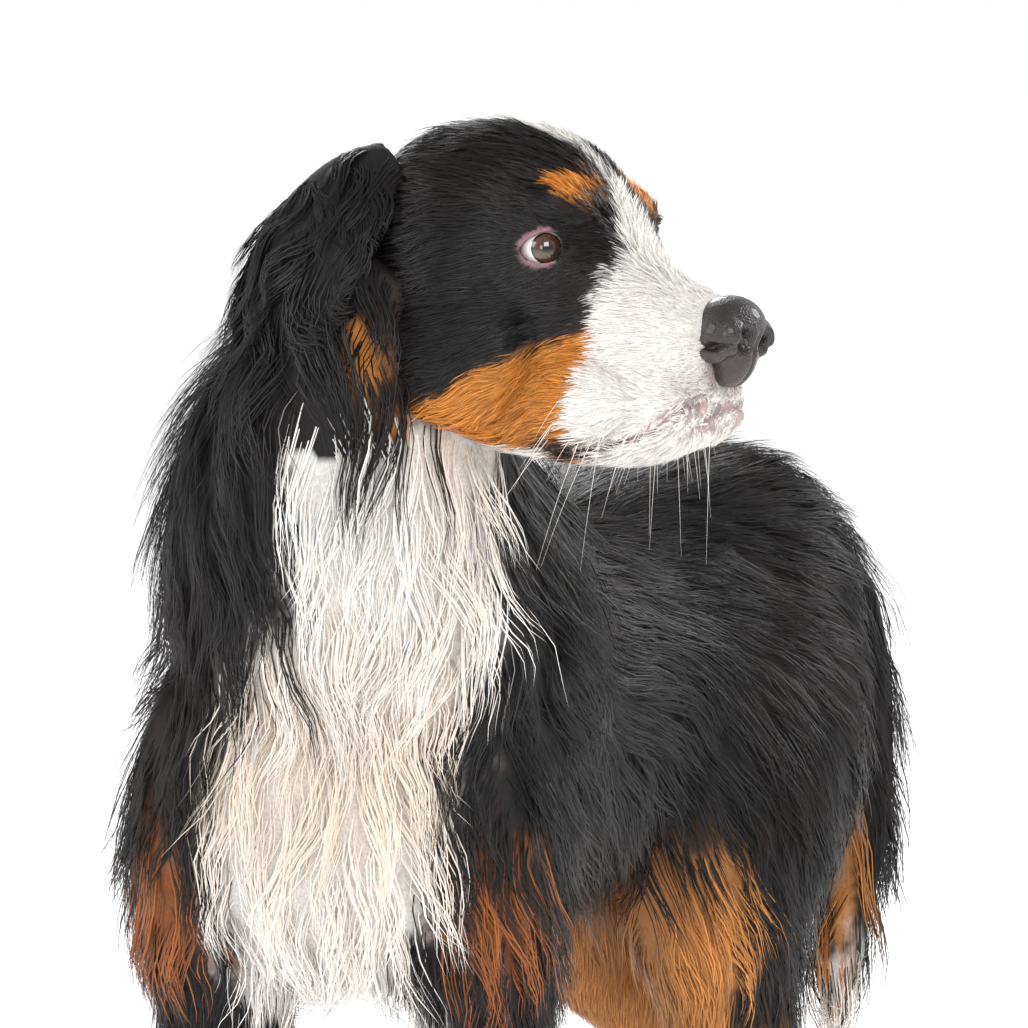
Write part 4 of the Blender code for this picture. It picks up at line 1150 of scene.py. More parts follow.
class BodyLie:
    """The lie of the body's coat."""

    FINENESS = 0.64  # a tuft's width as a share of the width in its fall
    FLANK = Fall(0.070, 0.0017, 0.017, 0.30, 0.45)
    BACK = Fall(0.060, 0.0016, 0.014, 0.30, 0.4)
    LOW_FLANK = Fall(0.080, 0.0018, 0.020, 0.35, 0.5)
    BELLY = Fall(0.085, 0.0018, 0.016, 0.35, 0.5)
    SHOULDER = Fall(0.070, 0.0017, 0.016, 0.45, 0.5)
    MANE = Fall(0.088, 0.0017, 0.022, 0.55, 0.80)
    CHEST = Fall(0.085, 0.0016, 0.021, 0.50, 0.80)
    FORELEG = Fall(0.032, 0.0014, 0.008, 0.20, 0.4)
    FORE_FRINGE = Fall(0.065, 0.0015, 0.014, 0.35, 0.55)
    THIGH = Fall(0.065, 0.0017, 0.015, 0.35, 0.5)
    BREECHES = Fall(0.092, 0.0018, 0.020, 0.50, 0.55)
    INNER_THIGH = Fall(0.040, 0.0015, 0.008, 0.2, 0.4)
    SHANK = Fall(0.022, 0.0012, 0.0050, 0.10, 0.3)
    PAW = Fall(0.013, 0.0010, 0.0030, 0.05, 0.2)
    TAIL = Fall(0.105, 0.0019, 0.024, 0.45, 0.5)

    def __init__(self, stance: Stance) -> None:
        """Keeps the stance and draws the ripples of the lie."""
        self.stance = stance
        self.swirl = Ripple(31, 0.16)
        self.lengths = Ripple(32, 0.07)

    def at(self, p: Array, n: Array) -> Growth:
        """How the coat grows at places of the body.

        Args:
            p: Points of the skin in the posed dog.
            n: Their normals.

        Returns:
            The growth at each.
        """
        q = self.stance.unbend(p)
        m = self.stance.turn_ways(n, -q[:, 1])
        x, y, z = q.T
        side = np.sign(x)
        out = np.abs(x)
        one = np.ones(len(p))
        way = np.stack([0 * one, one, -0.40 * one], 1)
        falls = np.outer(one, astuple(self.FLANK))

        def blend(weight: Array, direction: tuple, fall: Fall) -> None:
            """Moves the growth towards a direction and a fall by a weight."""
            nonlocal way, falls
            target = np.stack([np.broadcast_to(np.asarray(d, float), x.shape) for d in direction], 1)
            w = weight[:, None]
            way = way * (1 - w) + target * w
            falls = falls * (1 - w) + np.array(astuple(fall)) * w

        blend(rise(z, 0.56, 0.02) * rise(y, -0.05, 0.03), (side * 0.3, 1.0, -0.15), self.BACK)
        blend(rise(-z, -0.46, 0.03), (0, 0.7, -0.9), self.LOW_FLANK)
        blend(rise(-z, -0.385, 0.015) * rise(-m[:, 2], 0.2, 0.1), (0, 0.7, -0.9), self.BELLY)
        blend(rise(-y, 0.10, 0.03) * rise(-z, -0.56, 0.03), (0, 0.45, -1.0), self.SHOULDER)
        mane = rise(z, 0.56, 0.02) * rise(-y, 0.10, 0.03)
        blend(mane, (0, 0.55 * rise(y, -0.22, 0.03) + 0.12, -1.0), self.MANE)
        chest = rise(-y, 0.205, 0.012) * rise(-m[:, 1], 0.15, 0.08)
        chest = chest * rise(-out, -0.125, 0.01) * rise(z, 0.33, 0.01)
        blend(chest, (side * 0.12 * rise(-z, -0.50, 0.05), -0.05, -1.0), self.CHEST)
        fore = rise(-z, -0.355, 0.012) * rise(-y, 0.03, 0.01) * rise(out, 0.030, 0.006)
        blend(fore, (0, 0.10, -1.0), self.FORELEG)
        blend(fore * rise(m[:, 1], 0.25, 0.08) * rise(z, 0.15, 0.02), (0, 0.75, -1.0), self.FORE_FRINGE)
        thigh = rise(y, 0.07, 0.02) * rise(-z, -0.47, 0.025)
        blend(thigh, (0, 0.35, -1.0), self.THIGH)
        blend(thigh * rise(m[:, 1], 0.30, 0.1) * rise(z, 0.27, 0.02), (0, 0.50, -1.0), self.BREECHES)
        blend(thigh * rise(-m[:, 0] * side, 0.2, 0.1), (0, 0.30, -1.0), self.INNER_THIGH)
        legs = rise(-y, -0.345, 0.01)
        blend(rise(-z, -0.245, 0.015) * legs, (0, 0.05, -1.0), self.SHANK)
        blend(rise(-z, -0.075, 0.008) * legs, (0, -0.75, -0.8), self.PAW)
        tail = rise(y, 0.348, 0.006) * rise(-out, -0.075, 0.006) * rise(-z, -0.56, 0.01)
        blend(tail, (side * 0.12, 0.16 * np.sign(y - 0.385), -1.0), self.TAIL)
        length, width, lift, wave, clump = falls.T
        length = length * np.exp(0.16 * self.lengths.at(p))
        way = self.stance.turn_ways(way, q[:, 1])
        angle = self.swirl.at(p) * 0.16 * np.clip(wave / 0.5, 0.3, 1.4)
        return Growth(turned(way, n, angle), length, width * self.FINENESS, lift, wave, clump)


class HeadLie:
    """The lie of the head's short coat."""

    def __init__(self, stance: Stance, measures: Measures) -> None:
        """Keeps the shape and draws the ripples of the lie."""
        self.stance = stance
        self.measures = measures
        self.swirl = Ripple(41, 0.05)

    def at(self, p: Array, n: Array) -> Growth:
        """How the coat grows at places of the head.

        Args:
            p: Points of the skin in the posed dog.
            n: Their normals.

        Returns:
            The growth at each.
        """
        h = self.stance.to_head(p)
        forward, across, up = h.T
        side = np.sign(across)
        out = np.abs(across)
        one = np.ones(len(p))
        way = np.stack([-one, side * 0.10, -0.20 * one], 1)
        cheek = rise(-forward, -0.02, 0.012) * rise(out, 0.03, 0.006)
        way[:, 2] -= cheek * 0.35 * rise(-up, 0.0, 0.02)
        top = rise(up, 0.02, 0.008)
        way[:, 2] = way[:, 2] * (1 - top) + 0.1 * top
        way[:, 1] += top * side * 0.25
        chin = rise(-up, 0.105, 0.006)
        way[:, 2] = way[:, 2] * (1 - chin) - 0.55 * chin * rise(-forward, 0.0, 0.03)
        pulls = ((self.measures.eye_at, 0.024, 1.3), (self.measures.nose_at, 0.030, 1.4))
        for centre, reach, strength in pulls:
            away = h - np.array([centre[0], 0, centre[2]]) - np.stack([0 * one, side * centre[1], 0 * one], 1)
            distance = np.linalg.norm(away, axis=1)
            pull = strength * np.exp(-((distance / reach) ** 2))
            way += unit(away) * pull[:, None]
        places = (-0.13, -0.10, -0.06, -0.02, 0.03, 0.072, 0.10)
        length = np.interp(forward, places, (0.042, 0.034, 0.024, 0.016, 0.011, 0.0075, 0.005))
        low = rise(-up, 0.090, 0.01) * rise(-forward, 0.02, 0.015)
        length = length * (1 + 0.9 * low) + 0.010 * chin * rise(-forward, -0.05, 0.02)
        near = np.linalg.norm(h - np.stack([0 * one - 0.005, side * 0.041, 0 * one], 1), axis=1)
        length = length * (0.35 + 0.65 * rise(near, 0.024, 0.004))
        lift = 0.0014 + length * 0.13
        width = 0.00045 + length * 0.018
        wave = 0.10 + 0.35 * rise(length, 0.026, 0.004)
        clump = 0.15 + 0.3 * rise(length, 0.026, 0.004)
        way = turned(way @ self.stance.head_turn().T, n, self.swirl.at(p) * 0.12)
        return Growth(way, length, width, lift, wave, clump)


class EarLie:
    """The lie of an ear's long wavy coat."""

    def __init__(self, stance: Stance, side: Side) -> None:
        """Keeps the stance and the side."""
        self.stance = stance
        self.side = side
        self.swirl = Ripple(51 + side, 0.07)

    def at(self, p: Array, n: Array) -> Growth:
        """How the coat grows at places of the ear.

        Args:
            p: Points of the skin in the posed dog.
            n: Their normals.

        Returns:
            The growth at each.
        """
        h = self.stance.to_head(p)
        m = n @ self.stance.head_turn()
        up = h[:, 2]
        one = np.ones(len(p))
        outer = rise(m[:, 1] * self.side, 0.0, 0.15)
        high = rise(up, -0.02, 0.015)
        low = rise(-up, 0.085, 0.012)
        way = np.stack([-0.22 * high + 0.30 * low + 0.06 * (1 - high), 0 * one, -one], 1)
        length = (0.064 + 0.020 * rise(-up, 0.03, 0.02)) * (0.35 + 0.65 * outer) * (1 - 0.30 * low)
        lift = (0.008 + 0.003 * low) * (0.3 + 0.7 * outer)
        width = 0.0012 * one
        wave = 0.75 * outer + 0.2
        clump = 0.60 * outer + 0.2
        way = turned(way @ self.stance.head_turn().T, n, self.swirl.at(p) * 0.35)
        return Growth(way, length, width, lift, wave, clump)


class Pelt:
    """A skin that tufts are grown from."""

    def __init__(self, obj: bpy.types.Object) -> None:
        """Reads the skin's triangles.

        Args:
            obj: The skin, as it will be at last.
        """
        mesh = obj.data
        mesh.calc_loop_triangles()
        tri = np.empty(len(mesh.loop_triangles) * 3, np.int32)
        mesh.loop_triangles.foreach_get("vertices", tri)
        self.tri = tri.reshape(-1, 3)
        self.co = vertex_places(obj)
        self.normals = vertex_normals(obj)
        self.tree = BVHTree.FromPolygons(self.co.tolist(), self.tri.tolist())
        a, b, c = (self.co[self.tri[:, k]] for k in range(3))
        self.areas = np.linalg.norm(np.cross(b - a, c - a), axis=1) / 2
        self.middles = (a + b + c) / 3

    def scatter(self, count: int, density: Array, rng: np.random.Generator) -> tuple[Array, Array]:
        """Random places on the skin.

        Args:
            count: How many.
            density: A weight for each triangle.
            rng: Draws them.

        Returns:
            Places and normals.
        """
        total = np.cumsum(self.areas * density)
        pick = np.searchsorted(total, rng.uniform(0, total[-1], count))
        pick = np.minimum(pick, len(total) - 1)
        u, v = np.sort(rng.random((2, count)), axis=0)
        shares = np.stack([u, v - u, 1 - v], 1)
        corners = self.tri[pick]
        points = np.einsum("ij,ijk->ik", shares, self.co[corners])
        normals = unit(np.einsum("ij,ijk->ik", shares, self.normals[corners]))
        return points, normals

    def nearest(self, p: Array) -> tuple[Array, Array]:
        """The nearest places on the skin, with their normals."""
        places = np.empty_like(p)
        normals = np.empty_like(p)
        for i, point in enumerate(p.tolist()):
            at, normal, _, _ = self.tree.find_nearest(point)
            places[i] = at
            normals[i] = normal
        return places, normals

    def inside(self, p: Array) -> Array:
        """Which of the points lie inside this skin."""
        places, normals = self.nearest(p)
        return np.einsum("ij,ij->i", p - places, normals) < 0


@dataclass(frozen=True)
class Strands:
    """Tufts as thin tapered ribbons, one entry for each in every array."""

    roots: Array
    paths: Array
    widths: Array
    sides: Array
    normals: Array
    tints: Array
    patches: Array
    lean: float = 0.45  # how far the normals lean out at a tuft's two edges
    root_shade_tone: float = 0.84  # how bright a tuft is at its root: painted shade deep in the coat
    tip_shade_lift: float = 0.20  # how much brighter it is at its tip, where the painted shade fades out
    patch: float = 0.003  # how wide a tuft's patch is on the unwrap

    def piece(self, name: str, pick: Array, material: bpy.types.Material, shift: Array) -> bpy.types.Object:
        """One mesh object of the picked tufts.

        Args:
            name: The piece's name.
            pick: Indices of the tufts.
            material: Its finish.
            shift: From the posed dog to the frame.

        Returns:
            A new object.
        """
        paths, widths, sides = self.paths[pick], self.widths[pick], self.sides[pick]
        count, points, _ = paths.shape
        half = sides * (widths[:, :, None] / 2)
        left = paths[:, :-1] - half[:, :-1]
        right = paths[:, :-1] + half[:, :-1]
        tips = paths[:, -1:]
        rows = np.stack([left, right], 2).reshape(count, (points - 1) * 2, 3)
        verts = np.concatenate([rows, tips], 1)
        normals = self.normals[pick]
        lean = sides * self.lean
        edges = np.stack([normals[:, :-1] - lean[:, :-1], normals[:, :-1] + lean[:, :-1]], 2)
        normals = np.concatenate([edges.reshape(count, (points - 1) * 2, 3), normals[:, -1:]], 1)
        per = verts.shape[1]
        faces = []
        for k in range(points - 2):
            a = 2 * k
            faces += [(a, a + 1, a + 3), (a, a + 3, a + 2)]
        end = 2 * (points - 2)
        faces.append((end, end + 1, end + 2))
        tri = (np.array(faces)[None] + (np.arange(count) * per)[:, None, None]).reshape(-1, 3)
        mesh = bpy.data.meshes.new(name)
        mesh.vertices.add(count * per)
        mesh.vertices.foreach_set("co", (verts + shift).reshape(-1).astype(np.float32))
        mesh.loops.add(len(tri) * 3)
        mesh.loops.foreach_set("vertex_index", tri.reshape(-1).astype(np.int32))
        mesh.polygons.add(len(tri))
        mesh.polygons.foreach_set("loop_start", np.arange(0, len(tri) * 3, 3, dtype=np.int32))
        mesh.update(calc_edges=True)
        mesh.shade_smooth()
        mesh.normals_split_custom_set_from_vertices(unit(normals.reshape(-1, 3)).tolist())
        share = np.repeat(np.linspace(0, 1, points)[:-1], 2)
        share = np.concatenate([share, [1.0]])
        # Painted shade: each tuft is darker at its root and lighter towards its tip.
        tint = self.tints[pick][:, None, :] * (self.root_shade_tone + self.tip_shade_lift * share)[None, :, None]
        corner = np.tile(np.array([0.0, 1.0]), points - 1)
        corner = np.concatenate([corner, [0.5]])
        patch = np.stack([corner - 0.5, share - 0.5], 1) * self.patch
        uv = (self.patches[pick][:, None, :] + patch[None]).reshape(-1, 2)
        layer = mesh.uv_layers.new(name="OFBake")
        layer.uv.foreach_set("vector", uv[tri.reshape(-1)].reshape(-1).astype(np.float32))
        mesh.materials.append(material)
        obj = bpy.data.objects.new(name, mesh)
        bpy.context.scene.collection.objects.link(obj)
        set_tint(obj, tint.reshape(-1, 3))
        return obj


class Groomer:
    """Grows tufts on a pelt: guides walk over the skin, and tufts follow the guides."""

    GUIDE_STEPS = 8
    RAISED = 0.02  # roots are matched to guides this far above the skin, so that a fold's two sides part
    SUNK = 0.0008  # how deep a tuft starts
    FLOOR_GAP = 0.0012
    STRAYS = 0.05  # the share of tufts that leave their lock
    TAPER = ((0, 0.25, 0.65, 1.0), (0.75, 1.0, 0.62, 0.0))  # share of the length, share of the width

    def __init__(self, pelt: Pelt, lie: BodyLie | HeadLie | EarLie, grade: Grade) -> None:
        """Keeps what to grow.

        Args:
            pelt: The skin.
            lie: The lie of its coat.
            grade: How fine it is made.
        """
        self.pelt = pelt
        self.lie = lie
        self.grade = grade
        self.rng = np.random.default_rng(grade.seed)
        self.phases = Ripple(61, 0.13)

    def densities(self, keep: Array) -> tuple[Array, Array]:
        """Weights of the skin's triangles for tufts and for guides."""
        face_normals = unit(self.pelt.normals[self.pelt.tri].sum(1))
        growth = self.lie.at(self.pelt.middles, face_normals)
        tufts = keep / (growth.length * growth.width)
        guides = keep / np.maximum(growth.length, 0.012) ** 1.5
        return tufts, guides

    def walk(self, roots: Array, normals: Array) -> tuple[Array, Array, Growth]:
        """The guides' paths over the skin.

        Args:
            roots: Where they start.
            normals: The skin's normals there.

        Returns:
            Their paths, the skin's normals along them, and the growth at their roots.
        """
        rng = self.rng
        count = len(roots)
        start = self.lie.at(roots, normals)
        phase = self.phases.at(roots) * 2.2 + rng.normal(0, 0.6, count)
        turns = rng.uniform(0.8, 1.5, count)
        swing = rng.normal(0, 0.10, count)
        length = start.length * rng.uniform(0.85, 1.15, count)
        step = (length / self.GUIDE_STEPS)[:, None]
        high = start.lift * rng.uniform(0.7, 1.1, count)
        at, out = roots.copy(), normals.copy()
        path, outs = [at], [out]
        for k in range(1, self.GUIDE_STEPS + 1):
            share = k / self.GUIDE_STEPS
            growth = self.lie.at(at, out)
            along = unit(growth.way - out * np.einsum("ij,ij->i", growth.way, out)[:, None])
            side = np.cross(along, out)
            curl = swing + start.wave * 0.75 * np.sin(phase + share * turns * 2 * math.pi)
            ahead = unit(along * np.cos(curl)[:, None] + side * np.sin(curl)[:, None])
            want = at + ahead * step
            near, out = self.pelt.nearest(want)
            height = np.einsum("ij,ij->i", want - near, out)
            level = high * (1 - (1 - share) ** 1.7)
            at = near + out * np.clip(height, level, level * 1.35 + 0.0005)[:, None]
            path.append(at)
            outs.append(out)
        return np.stack(path, 1), np.stack(outs, 1), start

    def grow(self, keep: Array, markings: Markings, on_head: bool, unwrap: "Unwrap") -> Strands:
        """All tufts of this pelt.

        Args:
            keep: A weight for each of the skin's triangles, 0 where it stays bare.
            markings: The coat's colours.
            on_head: Whether it is the head's or an ear's coat.
            unwrap: Where each root lies on the unwrap of the skin.

        Returns:
            The tufts.
        """
        rng, grade = self.rng, self.grade
        tuft_weights, guide_weights = self.densities(keep)
        guide_roots, guide_normals = self.pelt.scatter(grade.guides, guide_weights, rng)
        guides, guide_outs, start = self.walk(guide_roots, guide_normals)
        guide_tones = rng.normal(0, 0.06, len(guides))
        tree = KDTree(len(guides))
        for i, place in enumerate((guide_roots + guide_normals * self.RAISED).tolist()):
            tree.insert(place, i)
        tree.balance()
        tufts = grade.tufts // 1
        roots, normals = self.pelt.scatter(tufts, tuft_weights, rng)
        near = np.array([tree.find(place)[1] for place in (roots + normals * self.RAISED).tolist()])
        count = len(roots)
        growth = self.lie.at(roots, normals)
        scale = np.clip(growth.length / start.length[near], 0.5, 1.3) * rng.uniform(0.72, 1.08, count)
        share = np.linspace(0, 1, grade.points)[None, :] * np.minimum(scale, 1.0)[:, None]
        steps = share * self.GUIDE_STEPS
        low = np.minimum(steps.astype(int), self.GUIDE_STEPS - 1)
        part = (steps - low)[:, :, None]
        follow = guides[near]
        index = np.arange(count)[:, None]
        base = follow[index, low] * (1 - part) + follow[index, low + 1] * part
        offset = roots - guide_roots[near]
        tight = growth.clump * rng.uniform(0.6, 1.15, count)
        tight = tight * np.where(rng.random(count) < self.STRAYS, 0.2, 1.0)
        loosen = 1 - tight[:, None] * share**1.3
        layer = rng.uniform(-0.75, 0.12, count)
        depth = growth.lift[:, None] * layer[:, None] * (1 - (1 - share) ** 1.7)
        wander = rng.normal(0, 1, (count, 3)) * (growth.length * 0.035)[:, None]
        paths = base + offset[:, None, :] * loosen[:, :, None]
        paths = paths + normals[:, None, :] * depth[:, :, None] + wander[:, None, :] * (share**2)[:, :, None]
        paths = paths - normals[:, None, :] * self.SUNK * (1 - share)[:, :, None]
        paths[:, :, 2] = np.maximum(paths[:, :, 2], self.FLOOR_GAP)
        tangents = np.gradient(paths, axis=1)
        outs = guide_outs[near]
        facing_out = outs[index, low] * (1 - part) + outs[index, low + 1] * part
        side = unit(np.cross(tangents, facing_out))
        lift = unit(np.cross(side, tangents))
        roll = rng.normal(0, 0.30, count)[:, None, None]
        roll = roll + rng.normal(0, 0.25, count)[:, None, None] * share[:, :, None]
        sides = side * np.cos(roll) + lift * np.sin(roll)
        line = np.linspace(0, 1, grade.points)
        taper = np.interp(line, *self.TAPER)
        widths = (growth.width * rng.uniform(0.7, 1.25, count))[:, None] * taper[None]
        tints = markings.colours(roots, normals, on_head, rng) * np.exp(guide_tones[near])[:, None]
        patches = unwrap.at(roots, normals, on_head)
        return Strands(roots, paths, widths, sides, lift, tints, patches)


def around(u: Array, v: Array) -> Array:
    """The turn of each place about an axis, from 0 to 1."""
    return np.arctan2(u, v) / (2 * math.pi) + 0.5


@dataclass(frozen=True)
class Unwrap:
    """Lays the skin out flat, each part round its own length, in its own field of the sheet."""

    stance: Stance

    @staticmethod
    def field(u: Array, v: Array, column: int, row: int) -> Array:
        """Places from 0 to 1 in one of four by four fields."""
        inner = np.clip(np.stack([u, v], 1), 0.02, 0.98)
        return (inner + np.array([column, row])) / 4.0

    def at(self, p: Array, n: Array, on_head: bool) -> Array:
        """Where points of the skin lie on the sheet.

        Args:
            p: Points in the posed dog.
            n: Their normals.
            on_head: Whether they are on the head or an ear.

        Returns:
            Their places on the sheet.
        """
        if on_head:
            h = self.stance.to_head(p)
            turn = around(h[:, 1], h[:, 2] + 0.045)
            along = (h[:, 0] + 0.19) / 0.33
            ear = (np.abs(h[:, 1]) > 0.074) & (h[:, 0] < -0.05)
            left = h[:, 1] > 0
            inner = (n @ self.stance.head_turn())[:, 1] * np.sign(h[:, 1]) < 0
            flap = self.field((h[:, 0] + 0.20) / 0.16, (h[:, 2] + 0.18) / 0.26, 0, 0)
            flap = flap + np.stack([left * 0.25, inner * 0.25], 1)
            return np.where(ear[:, None], flap, self.field(turn, along, 2, 0))
        q = self.stance.unbend(p)
        x, y, z = q.T
        out = self.field(around(x, z - 0.47), (y + 0.36) / 0.76, 0, 2)
        neck = (z > 0.55) & (y < -0.05)
        round_neck = self.field(around(p[:, 0] - 0.05, p[:, 1] + 0.23), (z - 0.5) / 0.36, 1, 2)
        out = np.where(neck[:, None], round_neck, out)
        legs = (z < 0.33) & (np.abs(x) > 0.03) & ((y < 0.345) | (np.abs(x) > 0.06))
        slanting = np.interp(z, (0.05, 0.16, 0.3), (0.29, 0.30, 0.20))  # the right hind leg steps back
        middles = ((-0.21, slanting), (-0.21, 0.18))
        for left in (0, 1):
            for hind in (0, 1):
                mine = legs & ((x > 0) == bool(left)) & ((y > 0) == bool(hind))
                turn = around(np.abs(x) - 0.086, y - middles[left][hind])
                out = np.where(mine[:, None], self.field(turn, z / 0.34, 2 + left, 2 + hind), out)
        tail = (y > 0.345) & (np.abs(x) < 0.075) & (z < 0.56)
        round_tail = self.field(around(x - 0.006, y - 0.385), (z - 0.15) / 0.42, 0, 3)
        return np.where(tail[:, None], round_tail, out)


# Eyes, nose, claws, pads, whiskers.


@dataclass(frozen=True)
class Eyeball:
    """One eye: white, iris, pupil and the bulge of the cornea."""

    head: Head
    side: Side
    sides: int = 96
    gap: float = 0.0002
    cornea_rise: float = 0.0011
    cornea_reach: float = 30.0  # this and the edges are in degrees from the gaze
    pupil_edge: float = 11.5
    iris_edge: float = 33.0
    white_edge: float = 39.5

    def gaze(self) -> Array:
        """The way the iris faces, in the head's axes."""
        _, look, across, up = self.head.eye_frame(self.side)
        return unit(look - across * 0.10 + up * 0.03)

    def build(self, shift: Array) -> bpy.types.Object:
        """The eye as a mesh with its tints.

        Args:
            shift: From the posed dog to the frame.

        Returns:
            A new object.
        """
        at, _, _, _ = self.head.eye_frame(self.side)
        gaze = self.gaze()
        right = unit(np.cross(gaze, Z_AXIS))
        up = np.cross(right, gaze)
        lats = np.concatenate([np.linspace(0.4, 46, 70), np.linspace(48, 178, 34)])
        turn = np.arange(self.sides) * 2 * math.pi / self.sides
        rng = np.random.default_rng(60)
        wander = rng.normal(0, 0.6, self.sides)
        fibres = 0.5 + 0.5 * np.sin(turn * 23 + wander) * np.sin(turn * 7 + 1.0)
        flat = np.outer(np.cos(turn), right) + np.outer(np.sin(turn), up)
        clay = Clay()
        rings, tints = [], []
        for lat in lats:
            bulge = self.cornea_rise * math.exp(-((lat / self.cornea_reach) ** 4))
            reach = self.head.measures.eye_radius - self.gap + bulge
            ring = flat * math.sin(math.radians(lat)) + gaze * math.cos(math.radians(lat))
            rings.append(self.head.stance.from_head(at + ring * reach))
            tints.append(self.ring_tint(lat, fibres))
        clay.loft(rings)
        obj = clay.object("eyeball_" + self.side.name.lower(), shift)
        obj.data.shade_smooth()
        facing(obj)
        ends = [tints[0].mean(0, keepdims=True), tints[-1].mean(0, keepdims=True)]
        set_tint(obj, np.concatenate([*tints, *ends]))
        obj.data.materials.append(EYE.material())
        return obj

    def ring_tint(self, lat: float, fibres: Array) -> Array:
        """Colours round one ring of the eye, by its angle from the gaze."""
        pupil = np.array([0.002, 0.002, 0.003])
        iris = np.array([0.096, 0.038, 0.018])
        inner = np.array([0.050, 0.018, 0.009])
        rim = np.array([0.012, 0.008, 0.007])
        white = np.array([0.80, 0.74, 0.74])
        share = np.clip((lat - 13) / 22, 0, 1)
        tone = (inner * (1 - share) + iris * share) * (0.75 + 0.5 * fibres[:, None])
        dark = 1 - np.clip((lat - self.pupil_edge) / 2.0, 0, 1)
        edge = np.clip((lat - self.iris_edge) / 4.0, 0, 1)
        outside = np.clip((lat - self.white_edge) / 2.5, 0, 1)
        colour = tone * (1 - dark) + pupil * dark
        colour = colour * (1 - edge) + rim * edge
        return colour * (1 - outside) + white * outside


@dataclass(frozen=True)
class Nose:
    """The nose leather with its nostrils, wings and philtrum."""

    head: Head
    size: float = 1.14
    voxel: float = 0.0009
    # middle of a mass, its radii, and the degrees it is turned, for a nose of size 1
    bridge: Rows = ((0.000, 0, 0.002), (0.0185, 0.0200, 0.0165), (0, -14, 0))
    front: Rows = ((0.004, 0, -0.012), (0.0125, 0.0125, 0.0165), (0, 12, 0))
    wing: Rows = ((0.0035, 0.0125, -0.0015), (0.0140, 0.0105, 0.0120), (0, 0, 14))
    low_wing: Rows = ((-0.002, 0.0150, -0.0085), (0.0120, 0.0080, 0.0075), (0, 14, 6))

    def build(self, shift: Array) -> bpy.types.Object:
        """The nose as a mesh with its tints.

        Args:
            shift: From the posed dog to the frame.

        Returns:
            A new object.
        """
        head = self.head
        at = np.array(head.measures.nose_at)
        clay = Clay()
        size = self.size
        masses = [(self.bridge, 1), (self.front, 1)]
        masses += [(mass, side) for side in reversed(Side) for mass in (self.wing, self.low_wing)]
        for (middle, radii, turn), side in masses:
            place = at + size * np.array([middle[0], side * middle[1], middle[2]])
            clay.ball(tuple(place), size * np.array(radii), head.place, (*turn[:2], side * turn[2]))
        obj = clay.melt("nose_leather", self.voxel, 6)
        p = vertex_places(obj)
        n = vertex_normals(obj) @ head.stance.head_turn()
        h = head.stance.to_head(p) - at
        forward, across, up = h[:, 0] / size, np.abs(h[:, 1]) / size, h[:, 2] / size
        hole = ((across - 0.0095) / 0.0046) ** 2 + ((up + 0.0025) / 0.0052) ** 2
        push = -0.0085 * np.exp(-hole) * rise(forward, 0.004, 0.002)
        slit_line = -0.0050 - 0.30 * (across - 0.012)
        slit = np.exp(-(((up - slit_line) / 0.0018) ** 2)) * rise(across, 0.0105, 0.001)
        push -= 0.0050 * slit * rise(forward, -0.008, 0.002) * rise(-forward, -0.014, 0.002)
        groove = np.exp(-((across / 0.0011) ** 2)) * rise(-up, 0.001, 0.002)
        push -= 0.0018 * groove * rise(forward, 0.0, 0.002)
        push += 0.0009 * np.exp(-(((hole**0.5 - 1.55) / 0.35) ** 2)) * rise(forward, 0.0, 0.003)
        set_vertex_places(obj, head.stance.from_head(h + at + n * push[:, None]) + shift)
        # Painted shade: the nostrils are darkened inside, where shade falls in the hollows.
        dark = np.exp(-hole * 0.8) * rise(forward, 0.003, 0.002)
        base = np.array([0.013, 0.010, 0.010])
        brown = np.array([0.036, 0.018, 0.014])
        low = (rise(-up, 0.006, 0.004) * 0.6 + rise(-forward, 0.004, 0.004) * 0.5)[:, None]
        tint = base * (1 - low) + brown * low
        set_tint(obj, tint * (1 - 0.9 * dark[:, None]))
        obj.data.shade_smooth()
        obj.data.materials.append(LEATHER.material())
        return obj


@dataclass(frozen=True)
class Feet:
    """Claws and pads of the four paws."""

    body: Body
    claw_radius: float = 0.0040
    claw_length: float = 0.0150
    claw_at: tuple[float, float] = (-0.018, 0.0145)  # ahead of a paw's middle, and up
    toe_pad: tuple[float, float, float] = (0.0085, 0.0105, 0.0050)
    heel_pad: tuple[float, float, float] = (0.0200, 0.0165, 0.0055)
    floor_gap: float = 0.0004

    def build(self, shift: Array) -> list[bpy.types.Object]:
        """All claws and all pads, as two meshes.

        Args:
            shift: From the posed dog to the frame.

        Returns:
            The claws and the pads.
        """
        claws, pads = Clay(), Clay()
        m = self.body.measures
        for rows in self.body.legs():
            place = self.body.paw_place(rows[-1])
            turn = np.array(place.to_3x3())
            origin = np.array(place.translation)
            for across, ahead in m.toes:
                back, rise_up = self.claw_at
                root = np.array([across, back - ahead - m.toe_ball[1] * 0.80, rise_up])
                rings = []
                for step, share in ((-0.5, 1.0), (0.0, 0.98), (0.4, 0.85), (0.75, 0.58), (1.0, 0.25)):
                    centre = root + np.array([0, -0.9 * step, -0.42 * step * step]) * self.claw_length
                    radius = self.claw_radius * share
                    up = np.array([0, 0.3, 1.0])
                    ring = oval(centre, X_AXIS, up, radius * 0.8, radius, radius, 12, 2.0)
                    rings.append(ring @ turn.T + origin)
                claws.loft(rings)
                pads.ball((across, -0.020 - ahead, 0.0055), self.toe_pad, place, sides=16)
            pads.ball((0, 0.002, 0.0060), self.heel_pad, place, sides=20)
        out = []
        for clay, name, finish in ((claws, "claws", HORN), (pads, "pads", PAD)):
            obj = clay.object(name, shift)
            places = vertex_places(obj)
            places[:, 2] = np.maximum(places[:, 2], self.floor_gap)
            set_vertex_places(obj, places)
            obj.data.shade_smooth()
            obj.data.materials.append(finish.material())
            out.append(obj)
        return out


